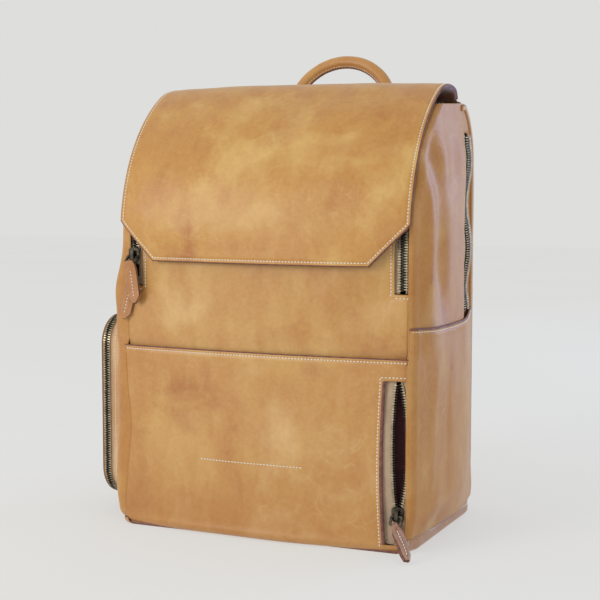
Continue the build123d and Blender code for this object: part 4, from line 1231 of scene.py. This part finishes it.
def u_path():
    """The main zip's middle line and its outward directions: up the left, across the top, down the right."""
    leg = [(-MAIN_X, b) for b in spread(MAIN_LOW, CROSS - U_CORNER, 3)]
    turn = [pi / 2 * k / 6 for k in range(1, 7)]
    leg += [(-MAIN_X + U_CORNER * (1 - cos(a)), CROSS - U_CORNER + U_CORNER * sin(a)) for a in turn]
    top = [(x, CROSS) for x in spread(-MAIN_X + U_CORNER, MAIN_X - U_CORNER, 5)][1:]
    path = []
    for x, b in leg + top + [(-x, b) for x, b in reversed(leg[:-1])]:
        y, z, ny, nz = wrap(b)
        up = Vector((0, ny, nz)).normalized()
        path.append((Vector((x, y, z)) + up * MAIN_OUT, up))
    return path


main_path = u_path()
INNER = 1 if (main_path[1][0] - main_path[0][0]).cross(main_path[0][1]).x > 0 else -1
zip_half(("main_zip", "outer"), "outer", "bag", main_path, -INNER, 9.3, 0.0, 1.3)
zip_half(("main_zip", "inner"), "inner", "mouth", main_path, INNER, 18, 0.5, 1.3)

# front pocket zip: closed below the slider, open above it
POCKET_PIN = pin("pocket_swing")
SPLIT_Z = POCKET_PIN.z + 4.5                        # the rows part from here up
POCKET_ROW = POCKET_PIN.y + PIN_OUT - 1.8
POCKET_TOP_Z = 150.5


def open_path(apart, out):
    """One row of the pocket's zip: apart to the right and out to the front at the middle of the opening."""
    path = []
    for z in spread(ZIP_LOW + 0.5, POCKET_TOP_Z, 2.5):
        t = max(0.0, (z - SPLIT_Z) / (POCKET_TOP_Z - SPLIT_Z))
        k = (4 * t * (1 - t)) ** 0.8 if 0 < t < 1 else 0
        path.append((Vector((POCKET_PIN.x + apart * k, POCKET_ROW - out * k, z)), Vector((0, -1, 0))))
    return path


def reach(path, x):
    """How far it is from a path to x, as a function of 0..1 along it."""
    last = len(path) - 1
    return lambda t: x - path[int(round(t * last))][0].x


row_left, row_right = open_path(-3.2, 1.5), open_path(6.2, -0.6)
pocket_rows = [zip_row("left", row_left, -1, 0.0), zip_row("right", row_right, 1, 0.5)]
settle(join("pocket_zip_rows", pocket_rows), "bag", "teeth", "pocket_zip_teeth")
pocket_cloth = [ribbon(row_left, -2.6, reach(row_left, ZIP_IN - 3)), bead(row_left, -2.6),
                ribbon(row_right, 2.6, reach(row_right, HALF + 0.6)), bead(row_right, 2.6)]
settle(join("pocket_zip_cloth", pocket_cloth), "bag", "tape", "pocket_zip_tape")

# laptop zip: up both sides and over the rear top
laptop_rows, laptop_cloth = [], []


def laptop_run(path, wide, near, *lift):
    """Add a closed stretch of the laptop zip, with tape from near out on both sides."""
    for side, phase in ((1, 0.0), (-1, 0.5)):
        laptop_rows.append(zip_row("row", path, side, phase, wide))
        laptop_cloth.append(ribbon(path, side * near, side * 9.5, *lift))


for sx in (-1, 1):
    leg = []
    for z in spread(LAPTOP_LOW + 0.5, LAPTOP_HIGH - 1, 3):
        x = SIDE_X - 2.2 if sx < 0 else SIDE_X + 1.2 - pull_in(LAPTOP_Y, z)
        dy, dx = zip_wave(z, sx > 0)
        up = Vector((sx, -0.25 if sx > 0 else 0, 0)).normalized()
        leg.append((Vector((sx * (x + dx), LAPTOP_Y + dy, z)), up))
    laptop_run(leg, 1.0 if sx < 0 else 1.2, 2.6, -1.2)
y, z, ny, nz = wrap(CROSS_B)
up = Vector((0, ny, nz)).normalized()
over = [(Vector((x, y, z)) - up * 3.0, up) for x in spread(-HALF + 4, HALF - 4, 6)]
laptop_run(over, 1.0, 3.3)
settle(join("laptop_zip_rows", laptop_rows), "bag", "teeth", "laptop_zip_teeth")
settle(join("laptop_zip_cloth", laptop_cloth), "bag", "tape", "laptop_zip_tape")

# ---- zipped pocket on the left -----------------------------------------------------------------
FACE_LOW, FACE_HIGH = box("side_pocket_face")
PY0, PY1, PZ0, PZ1 = FACE_LOW.y, FACE_HIGH.y, FACE_LOW.z, FACE_HIGH.z
PR = 28.0                                           # radius of its corners
PX = pin("side_pocket_open").x
LID_X = FACE_LOW.x + 3.4                            # the lid is thinner than the CAD part
ZIP_END_Y = 22.0                                    # the zip ends this far back, above and below
GUSSET_DEPTH = 26.0
# the straight and round stretches of its outline, from the rear top end of the zip forward
WIDE, TALL, ROUND = PY1 - PY0 - 2 * PR, PZ1 - PZ0 - 2 * PR, PR * pi / 2
BEHIND = PY1 - PR - ZIP_END_Y
STRETCHES = [WIDE - BEHIND, ROUND, TALL, ROUND, WIDE, ROUND, TALL, ROUND, BEHIND]
S_ZIP = sum(STRETCHES[:4] + [WIDE - BEHIND]) / sum(STRETCHES)


def outline(s, inset=0.0):
    """A point on the pocket's rounded outline and its outward normal; s runs 0..1 from the rear top end
    of the zip forward over the top, down the front, back along the bottom and up the rear."""
    y0, y1, z0, z1 = PY0 + PR, PY1 - PR, PZ0 + PR, PZ1 - PR
    corners = {1: (y0, z1, 90), 3: (y0, z0, 180), 5: (y1, z0, 270), 7: (y1, z1, 0)}
    d = (s % 1.0) * sum(STRETCHES)
    k = 0
    while k < len(STRETCHES) - 1 and d > STRETCHES[k]:
        d -= STRETCHES[k]
        k += 1
    if k in corners:
        cy, cz, start = corners[k]
        a = radians(start) + d / PR
        ny, nz = cos(a), sin(a)
        y, z = cy + PR * ny, cz + PR * nz
    else:
        y, z, ny, nz = {0: (ZIP_END_Y - d, PZ1, 0, 1), 2: (PY0, z1 - d, -1, 0), 4: (y0 + d, PZ0, 0, -1),
                        6: (PY1, z0 + d, 1, 0), 8: (y1 - d, PZ1, 0, 1)}[k]
    return y - ny * inset, z - nz * inset, ny, nz


def zip_x(y):
    """The pocket's zip bows outward ahead of its slider."""
    return PX - 2.5 * smooth((-12 - y) / 25)


def gusset_face(s, t):
    """t runs 0..1 from the bag out to the zip."""
    y, z, ny, nz = outline(s)
    in_zip = (s % 1.0) < S_ZIP
    x = -SIDE_X + (zip_x(y) + (6.0 if in_zip else 0.4) + SIDE_X) * t
    h = rim(abs(t - 1) * GUSSET_DEPTH, 3.0, 0.9) if in_zip else 0
    h += 1.2 * sin(pi * t) + 0.8 * lumps(y, t * 20, z, 40)
    return (x, y + ny * h, z + nz * h)


LID_WALL, LID_ROLL = 0.12, 0.24                     # the lid's wall and its rolled corner end at these t


def lid_face(s, t):
    """t runs 0..1 from the zip over the corner to the middle of the outer face."""
    in_zip = (s % 1.0) < S_ZIP
    y, z, ny, nz = outline(s)
    depth = zip_x(y) - LID_X - (4.4 if in_zip else 0.4)      # from the zip out to the face
    r = min(2.0, 0.9 * depth)
    if t <= LID_WALL:
        k = t / LID_WALL
        x = LID_X + r + (depth - r) * (1 - k)
        h = rim(k * (depth - r), 1.6, 0.8) if in_zip else 0
        return (x, y + ny * h, z + nz * h)
    if t <= LID_ROLL:
        a = (t - LID_WALL) / (LID_ROLL - LID_WALL) * pi / 2
        y, z, ny, nz = outline(s, r * (1 - cos(a)))
        return (LID_X + r - r * sin(a), y, z)
    k = (t - LID_ROLL) / (1 - LID_ROLL)
    y, z, ny, nz = outline(s, r)
    cy, cz = (PY0 + PY1) / 2, (PZ0 + PZ1) / 2
    y, z = cy + (y - cy) * (1 - k), cz + (z - cz) * (1 - k)
    puff = 2.5 * smooth(k * 1.4) + 1.0 * lumps(y, 8, z, 45) * smooth(k * 3)
    return (LID_X - puff, y, z)


around_pocket = [k / 150 for k in range(150)]
out_gusset = [0, 0.15, 0.3, 0.45, 0.6, 0.72, 0.8, 0.85, 0.88, 0.91, 0.94, 0.965, 0.985, 1.0]
over_lid = [0, 0.01, 0.03, 0.05, 0.07, 0.09, LID_WALL, 0.15, 0.18, 0.21, LID_ROLL, 0.26, 0.28, 0.3, 0.35,
            0.42, 0.5, 0.6, 0.7, 0.8, 0.9, 0.97, 0.995]
gusset = shell("side_pocket_gusset_leather", gusset_face, around_pocket, out_gusset, 2.0,
               (raw_strip, edge, lining), wrap_a=True, flip=True)
settle(gusset, "bag", "leather", "side_pocket_gusset")
lid = shell("side_pocket_lid_leather", lid_face, around_pocket, over_lid, 2.0, (tan_side, edge, lining),
            wrap_a=True, flip=True)
settle(lid, "side_pocket_lid", "leather", "side_pocket_face")
side_path = []
for k in range(121):
    y, z, ny, nz = outline(S_ZIP * k / 120, 0.8)
    side_path.append((Vector((zip_x(y), y, z)), Vector((0, ny, nz))))
OUTER = 1 if (side_path[1][0] - side_path[0][0]).cross(side_path[0][1]).x < 0 else -1
zip_half(("side_pocket", "lid"), "face", "side_pocket_lid", side_path, OUTER, 4.4, 0.0)
zip_half(("side_pocket", "gusset"), "gusset", "bag", side_path, -OUTER, 8.0, 0.5)
gusset_run = []
for k in range(141):
    s = S_ZIP * k / 140
    gusset_run.append((gusset_face(s, 1 - 3.0 / GUSSET_DEPTH), (0, *outline(s)[2:])))
sew("side_pocket_stitches_gusset", "bag", [gusset_run])
lid_run = [(Vector(lid_face(k / 160, 0.275)) + Vector((-0.1, 0, 0)), (-1, 0, 0)) for k in range(161)]
sew("side_pocket_stitches_lid", "side_pocket_lid", [lid_run])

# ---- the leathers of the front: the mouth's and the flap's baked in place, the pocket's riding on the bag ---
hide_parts("front_panel", "mouth_panel")
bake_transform(front_leather)
settle(pocket_leather, "bag", "leather", "front_pocket_panel")
for piece in (flap_leather, flap_stitches):
    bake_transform(piece)
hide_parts("flap")

# stitches beside the main zip
beside = NOTCH_X - 3.4
front_runs = [on_surface(front_face, [(sx * beside, HINGE_Z - 2), (sx * beside, B_TOP + 2)], 1, 0.1, 3)
              for sx in (-1, 1)]
moving = stitch_mesh("main_zip_stitches", front_runs)
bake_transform(moving)
below = HINGE_Z - 3.4
end_runs = [on_surface(front_face, [(sx * (NOTCH_X + 1), below), (sx * (HALF - 2), below)], 1, 0.1, 2)
            for sx in (-1, 1)]
sew("main_zip_end_stitches", "bag", end_runs)

# gusset between the main zip and the hem, over the front of the top
GUSSET_IN = CROSS + 6.0


def gusset_top_face(x, b):
    h = rim(max(0.0, b - GUSSET_IN), 2.8, 0.7) - 1.2 * max(0.0, 1 - (HALF - abs(x)) / 2.5) ** 2
    return on_wrap(x, b, h + 0.5 * lumps(x, 8, b, 40))


top_gusset = shell("top_gusset", gusset_top_face, back_xs, [GUSSET_IN + e for e in EDGE_STEPS[:7]], 2.0,
                   (tan, edge, lining))
settle(top_gusset, "bag", "leather")


# pocket stitches: top seam, beside the zip, above it, and the short line low on the front
def pocket_run(*path):
    return on_surface(pocket_face, path, -1, 0.1, 3)


LINE_Z, LINE_LEFT, LINE_RIGHT = 70.8, -56.0, 46.0
beside = ZIP_IN - 4.6
sew("front_pocket_stitches", "bag", [
    pocket_run((-HALF + 3, 3.4), (HALF - 2, 3.4)),
    pocket_run((beside, b_zip_top - 3), (beside, b_zip_low + 2)),
    pocket_run((beside, b_zip_top - 3.2), (HALF - 2, b_zip_top - 3.2))])
line = pocket_run((LINE_LEFT, SEAM_Z - LINE_Z), (LINE_RIGHT, SEAM_Z - LINE_Z))
sew("front_pocket_line", "bag", [line], 2.2, 1.2, 3.1)

# ---- pull tabs ------------------------------------------------------------------------------------
TAB_LENGTH, TAB_THICK = 40.1, 3.4
# half the width of a tab at distances from its tip
TAB_OUTLINE = [(0.5, 1.0), (7.5, 6.4), (30.5, 5.6), (35.9, 2.8), (TAB_LENGTH, 2.8)]
MAIN_OUTLINE = [(0.5, 1.6), (6.5, 6.4), (30.5, 5.9), (36.5, 5.2), (TAB_LENGTH, 3.6)]
POCKET_OUTLINE = [(0.5, 2.8), (5.5, 5.2), (30.5, 4.9), (35.9, 3.6), (TAB_LENGTH, 2.8)]
OUTLINES = {"main_upper": MAIN_OUTLINE, "main_lower": MAIN_OUTLINE, "pocket": POCKET_OUTLINE}
TWIST = {"pocket": radians(48), "main_upper": radians(-8), "main_lower": radians(10)}


def width_at(table, d, ease=float):
    """A width from a table of (distance, width), between whose rows it runs straight or eased."""
    for (d0, w0), (d1, w1) in zip(table, table[1:]):
        if d <= d1:
            return w0 + (w1 - w0) * ease((d - d0) / (d1 - d0))
    return table[-1][1]


def tab_axes(node):
    """Tip, direction from the tip to the pin, and outward direction of a pull tab, from its CAD node."""
    found = {tuple(round(c * 1000, 3) for c in v.co) for v in frame["nodes"][node].data.vertices}
    points = [Vector(p) for p in sorted(found)]
    middle = sum(points, Vector()) / len(points)
    ends = sorted(points, key=lambda p: -(p - middle).length)[:2]
    tip = (ends[0] + ends[1]) / 2
    out = (ends[0] - ends[1]).normalized()
    near = [p for p in points if (p - tip).length < 13]
    up = (sum(near, Vector()) / len(near) - tip)
    up -= out * up.dot(out)
    return tip, up.normalized(), out


tab_ds = [0.5, 1.5, 2.5, 4, 6, 7.5, 9, 12, 16, 20, 24, 28, 30.5, 32, 34, 36, 38, TAB_LENGTH]
tab_as = mirrored([0, 0.12, 0.25, 0.45, 0.65, 0.8, 0.88, 0.95, 1])
for name in ("main_upper", "main_lower", "pocket", "laptop", "side_pocket"):
    tip, up, out = tab_axes(f"{name}_pull_tab")
    across = up.cross(out)
    table, twist = OUTLINES.get(name, TAB_OUTLINE), TWIST.get(name, 0.0)

    def tab_face(a, d):
        w = width_at(table, d)
        groove = 0.35 * hump((a * w, 0, 0.8)) * smooth((d - 4) / 3) * smooth((33 - d) / 3)
        h = TAB_THICK / 2 + rim((1 - abs(a)) * w, 2.2, 0.5) * 0.8 - groove
        curl = 1.2 * ((d - 18) / 20) ** 2 - 0.6
        turned = Matrix.Rotation(twist * smooth((TAB_LENGTH - d) / 34), 3, up)
        return tip + up * d + turned @ (across * (a * w) + out * (h + curl))

    cover = mauve if name == "pocket" else tan_tab
    tab = shell(f"{name}_tab_leather", tab_face, tab_as, tab_ds, TAB_THICK, (cover, edge, cover))
    settle(tab, f"{name}_pull", "leather", f"{name}_pull_tab")
    run_front = on_surface(tab_face, [(0, 6), (0, 31)], 1, 0.05)
    run_back = [(p - n * (TAB_THICK + 0.15), -n) for p, n in run_front]
    sew(f"{name}_tab_stitches", f"{name}_pull", [run_front, run_back], 2.0, 1.05, 2.9)

# ---- handle --------------------------------------------------------------------------------------
GRIP = pin("handle_tilt")
GRIP_LEAN = radians(18.4)
GRIP_R, GRIP_LEG = 53.5, 19.2                       # radius of the arch, and height of its legs
GRIP_RADIUS, SIDES = 6.5, 28                        # of the rolled leather
grip_up = Vector((0, sin(GRIP_LEAN), cos(GRIP_LEAN)))
grip_front = Vector((0, -cos(GRIP_LEAN), sin(GRIP_LEAN)))


def grip_point(u, v):
    """A point of the handle's plane: u across and v up from its hinge."""
    return Vector((u, GRIP.y, GRIP.z)) + grip_up * v


def grip_away(u, v):
    """The direction out from the arch's middle, and straight out from the legs."""
    return (Vector((u, 0, 0)) + grip_up * max(0.0, v - GRIP_LEG)).normalized()


grip_leg = [(-GRIP_R, v) for v in spread(7, GRIP_LEG, 2.5)]
grip_arch = [(-GRIP_R * cos(pi * k / 48), GRIP_LEG + GRIP_R * sin(pi * k / 48)) for k in range(1, 48)]
grip_line = grip_leg + grip_arch + [(-u, v) for u, v in reversed(grip_leg)]
verts = []
for u, v in grip_line:
    away, end = grip_away(u, v), smooth((v - 6) / 8)
    for m in range(SIDES):
        # a = 0 points to the inside of the arch, where the rolled leather is sewn into a fin
        a = 2 * pi * m / SIDES
        fold = min(a, 2 * pi - a)
        r = GRIP_RADIUS - 0.35 + 0.18 * lumps(u, v, m, 12)
        r += (0.9 * hump((fold, 0, 0.2)) - 0.55 * hump((fold, 0.5, 0.16))) * end
        flat = 0.35 + 0.65 * end
        verts.append(grip_point(u, v) - away * (r * cos(a)) + grip_front * (r * flat * sin(a)))
faces = rings(len(grip_line), SIDES)
index = [1 if k % SIDES in (0, SIDES - 1) else 0 for k in range(len(faces))] + [0, 0]
roll = fix_normals(make("roll", verts, faces + caps(len(grip_line), SIDES), (tan_strap, edge), index))
grip_pieces = [roll]
for sx in (-1, 1):
    def ear_face(a, v):
        w = 8.0 - 1.6 * smooth((v - 4) / 6)
        return grip_point(sx * GRIP_R + a * w, v) + grip_front * (1.5 + rim((1 - abs(a)) * w, 2.2, 0.5) * 0.8)

    ear = shell("ear", ear_face, mirrored([0, 0.4, 0.62, 0.76, 0.86, 0.94, 1]), spread(-1.8, 9.5, 1.4), 3.0,
                (tan_strap, edge, tan_strap), flip=True)
    grip_pieces.append(fix_normals(ear))
settle(join("handle_leather", grip_pieces), "handle", "leather", "handle_cover")
run = []
for u, v in grip_line[4:-4]:
    away = grip_away(u, v)
    place = grip_point(u, v) - away * (GRIP_RADIUS + 0.1) * 0.86 + grip_front * 3.4
    run.append((place, (grip_front - away).normalized()))
sew("handle_stitches", "handle", [run], 2.0, 0.75, 2.9)

# patches that hold the handle's ends
ANCHOR_B = B_REAR + REAR_R * asin(min(1.0, (GRIP.y - REAR_Y - 2) / REAR_R))
ANCHOR_X, ANCHOR_LONG = 11, 13                      # half a patch across, and half of it along the wrap


def anchor_face(sx, a, b):
    """A patch that holds one end of the handle: a across it, b along the wrap of the bag."""
    mound = 4.2 * hump((b, ANCHOR_B, 5.5)) * (1 - 0.25 * abs(a))
    d = min((1 - abs(a)) * ANCHOR_X, b - ANCHOR_B + ANCHOR_LONG, ANCHOR_B + ANCHOR_LONG - b)
    return on_wrap(sx * GRIP_R + a * ANCHOR_X, b, 2.0 + mound + rim(max(0.0, d), 2.6, 0.8))


def square(a, low, high):
    """A closed path of stitches round a patch, from -a to a and from low to high."""
    return [(-a, low), (a, low), (a, high), (-a, high), (-a, low)]


patches, patch_runs = [], []
patch_as = mirrored([0, 0.4, 0.65, 0.78, 0.88, 0.95, 1])
patch_bs = sorted(set(edged(ANCHOR_B - ANCHOR_LONG, ANCHOR_B + ANCHOR_LONG, 1.6)))
for sx in (-1, 1):
    P = lambda a, b: anchor_face(sx, a, b)
    patches.append(shell("patch", P, patch_as, patch_bs, 1.9, (tan_strap, edge, suede)))
    patch_runs.append(on_surface(P, square(0.76, ANCHOR_B - 10.4, ANCHOR_B + 10.4), 1, 0.05, 0.7))
settle(join("handle_patches", patches), "bag", "leather", "handle_anchors")
sew("handle_patch_stitches", "bag", patch_runs, 1.9, 0.75, 2.7)

# ---- shoulder straps ------------------------------------------------------------------------------
TOP_RING, LOW_RING = Vector((48.0, 106.5, 336.0)), Vector((112.0, 106.5, 60.0))
BOW = 26.0                                          # the straps bow out this far between their rings
BOW_HALF = (TOP_RING.z - LOW_RING.z) / 2
BOW_RADIUS = (BOW_HALF ** 2 + BOW ** 2) / (2 * BOW)
BOW_Y, BOW_Z = TOP_RING.y + BOW - BOW_RADIUS, (TOP_RING.z + LOW_RING.z) / 2
STRAP_LEAN = (LOW_RING.x - TOP_RING.x) / (TOP_RING.z - LOW_RING.z)
# half the width of a shoulder pad at heights from its lower to its upper end
PAD_WIDTH = [(148, 13.0), (154, 14.5), (176, 27.0), (302, 27.0), (322, 13.0), (331, 7.0)]
PAD_END, PAD_TOP = PAD_WIDTH[0][0], PAD_WIDTH[-1][0]
PAD_ROW, BAND_ROW = 1 - 3.4 / 27, 0.77              # rows of stitches, as shares of the half width


def bow(sx, across, z, out):
    """A point on a strap: across it from its middle line, and out from its inner line."""
    a = asin((z - BOW_Z) / BOW_RADIUS)
    r = BOW_RADIUS + out
    x = TOP_RING.x + (TOP_RING.z - z) * STRAP_LEAN + across
    return Vector((sx * x, BOW_Y + r * cos(a), BOW_Z + r * sin(a)))


def pad_place(a, z):
    """Half the shoulder pad's width at z, the distance to its edge, and how full it is there."""
    w = width_at(PAD_WIDTH, z, smooth)
    d = min((1 - abs(a)) * w, z - PAD_END, PAD_TOP - z)
    return w, d, smooth((d - 3.5) / 8)


# section of a leather loop round a ring: places across it and heights
LOOP_SECTION = ((-6, -1.3), (-6, 1.0), (-5, 1.3), (5, 1.3), (6, 1.0), (6, -1.3))
LOOP_STEPS, LOOP_R = 25, 5.6


def ring_loop(x, ring):
    """The band's leather loop round a ring."""
    verts = []
    for k in range(LOOP_STEPS):
        a = 2 * pi * k / LOOP_STEPS
        place = Vector((x, ring.y + LOOP_R * cos(a), ring.z + LOOP_R * sin(a)))
        away = Vector((0, place.y - ring.y, place.z - ring.z)).normalized()
        verts += [place + Vector((u, 0, 0)) + away * h for u, h in LOOP_SECTION]
    n = len(LOOP_SECTION)
    faces = rings(LOOP_STEPS, n, closed=True)
    index = [1 if k % n in (0, 4) else 0 for k in range(len(faces))]
    return fix_normals(make("loop", verts, faces, (tan_strap, edge), index))


pad_as = mirrored([0, 0.3, 0.55, 0.7, 0.8, 0.86, 0.89, 0.915, 0.94, 0.965, 0.985, 1])
band_as = mirrored([0, 0.4, 0.65, 0.75, 0.83, 0.9, 0.96, 1])
for sx, word in ((1, "right"), (-1, "left")):
    body = f"strap_{word}"

    def pad(a, z):
        w, d, full = pad_place(a, z)
        out = 4.6 + 2.6 * full + rim(max(0.0, d), 3.4, 1.2) + 0.4 * lumps(a * w, sx * 9, z, 22) * full
        return bow(sx, a * w, z, out)

    def band_face(a, z):
        w = 12.5 - 6 * smooth((78 - z) / 12)
        return bow(sx, a * w, z, -0.2 + rim((1 - abs(a)) * w, 2.8, 0.6))

    cushion = shell(f"{body}_pad_leather", pad, pad_as, edged(PAD_END, PAD_TOP, 3),
                    lambda a, z: 3.6 + 3.4 * pad_place(a, z)[2], (tan_strap, edge, suede), flip=sx > 0)
    settle(cushion, body, "leather", f"{body}_pad")
    pad_runs = []
    for a in (-PAD_ROW, PAD_ROW):
        pad_runs.append(on_surface(pad, [(a, z) for z in spread(152, 327, 5)], -sx, 0.08))
    pad_runs += [on_surface(pad, [(-0.7, z), (0.7, z)], -sx, 0.08, 0.05) for z in (158, 318)]
    sew(f"{body}_pad_stitches", body, pad_runs)
    band = shell("band", band_face, band_as, spread(66, 182, 3), 2.8, (tan_strap, edge, suede), flip=sx > 0)
    loops = [ring_loop(sx * ring.x, ring) for ring in (TOP_RING, LOW_RING)]
    settle(join(f"{body}_band", [band] + loops), body, "leather", f"{body}_lower")
    band_runs = []
    for a in (-BAND_ROW, BAND_ROW):
        band_runs.append(on_surface(band_face, [(a, z) for z in spread(80, 178, 4)], -sx, 0.08))
    sew(f"{body}_band_stitches", body, band_runs)

# leather tabs that hold the strap rings
TAB_Y = box("strap_tabs")[0].y
tab_pieces, tab_runs = [], []
holder_as = mirrored([0, 0.5, 0.7, 0.8, 0.88, 0.95, 1])
holder_vs = [-4.6, -4.2, -3.4, -2.2, -1, 0, 1, 2.2, 3.6, 5, 6.5, 8, 9.5, 11, 12, 12.8, 13.6, 14.4, 15, 15.5]
for x0, z0, up in [(s * r.x, r.z, u) for s in (-1, 1) for r, u in ((TOP_RING, 1), (LOW_RING, -1))]:
    def holder(a, v):
        """v runs from the bar of the ring to the far end of the tab."""
        d = min((1 - abs(a)) * 13, holder_vs[-1] - v)
        w = 13 - 3.5 * smooth((3 - v) / 5)
        out = 4.4 + 7.2 * hump((v, 0, 5.5)) + rim(max(0.0, d), 2.8, 0.8)
        return Vector((x0 + a * w, TAB_Y + out, z0 + up * (20 + v)))

    tab_pieces.append(shell("tab", holder, holder_as, holder_vs, lambda a, v: 4.4 + 6 * hump((v, 0, 5.5)),
                            (tan_strap, edge, suede), flip=up > 0))
    tab_runs.append(on_surface(holder, square(0.78, 7, 13), -up, 0.05, 0.5))
settle(join("strap_tab_leather", tab_pieces), "bag", "leather", "strap_tabs")
sew("strap_tab_stitches", "bag", tab_runs, 1.9, 0.75, 2.7)

# ---- finishes of the CAD pieces that stay ----------------------------------------------------------
board = suede_material("base_board", srgb(92, 78, 62), srgb(128, 110, 88), 500)
foam = suede_material("foam", srgb(52, 50, 48), srgb(78, 74, 70), 900)
magnet = metal_material("magnet_steel", srgb(128, 126, 122), srgb(188, 186, 182), 0.28)
cotton = cloth_material("cotton_cord", srgb(186, 172, 144), srgb(222, 210, 184), 700)
# the first of these words that a node's name holds gives its finish, and the rest is brass
FINISHES = {"divider": lining, "liner": lining, "board": board, "foam": foam, "magnet": magnet,
            "core": cotton, "slider": gunmetal, "pull": gunmetal}
for name, node in frame["nodes"].items():
    if not node.hide_render:
        node.data.materials.clear()
        node.data.materials.append(next((FINISHES[word] for word in FINISHES if word in name), brass))

# ---- floor, light and camera -----------------------------------------------------------------------
PALE = srgb(222, 222, 220)
FLOOR_GLOW = 0.675                                  # the floor glows, so that it meets the sky without a line
FLOOR_HALF = 5000
paper = Nodes("pale_paper")
paper_tone = paper.ramp(paper.noise(3, 2), (0.3, srgb(148, 149, 148)), (0.7, srgb(151, 151, 150)))
paper.set(Base_Color=paper_tone, Roughness=0.9, Specular_IOR_Level=0.0, Emission_Color=PALE,
          Emission_Strength=FLOOR_GLOW)
verts = [(FLOOR_HALF * x, FLOOR_HALF * y, -0.1) for x, y in ((-1, -1), (1, -1), (1, 1), (-1, 1))]
floor = make("floor", verts, [[0, 1, 2, 3]], (paper.mat,))

world = bpy.data.worlds.new("studio")
bpy.context.scene.world = world
world.use_nodes = True
sky = world.node_tree.nodes["Background"]
sky.inputs["Color"].default_value = PALE
sky.inputs["Strength"].default_value = 1.0


def aim(obj, where, direction):
    """Put a lamp or the camera in its place and turn it along a direction."""
    obj.location = where
    obj.rotation_mode = "QUATERNION"
    obj.rotation_quaternion = direction.to_track_quat("-Z", "Y")
    bpy.context.scene.collection.objects.link(obj)


def softbox(name, where, size, power, colour):
    """A large rectangular lamp aimed at the middle of the bag. where is in metres."""
    lamp = bpy.data.lights.new(name, "AREA")
    lamp.shape = "RECTANGLE"
    lamp.size, lamp.size_y = size
    lamp.energy = power
    lamp.color = colour
    aim(bpy.data.objects.new(name, lamp), where, Vector((0, 0, 0.2)) - Vector(where))


softbox("key", (-1.1, -1.9, 0.9), (1.0, 0.9), 17, (1, 0.98, 0.95))
softbox("side", (1.15, 1.83, 0.55), (0.8, 1.5), 13, (0.38, 0.52, 1))

camera = bpy.data.objects.new("camera", bpy.data.cameras.new("camera"))
camera.data.sensor_width = 36.0
camera.data.lens = 83.9
camera.data.clip_end = 20
YAW, PITCH = 0.414, 0.090
aim(camera, (0.5347, -1.2234, 0.3301), Vector((-sin(YAW) * cos(PITCH), cos(YAW) * cos(PITCH), -sin(PITCH))))
bpy.context.scene.camera = camera
bpy.context.scene.view_settings.view_transform = "Standard"
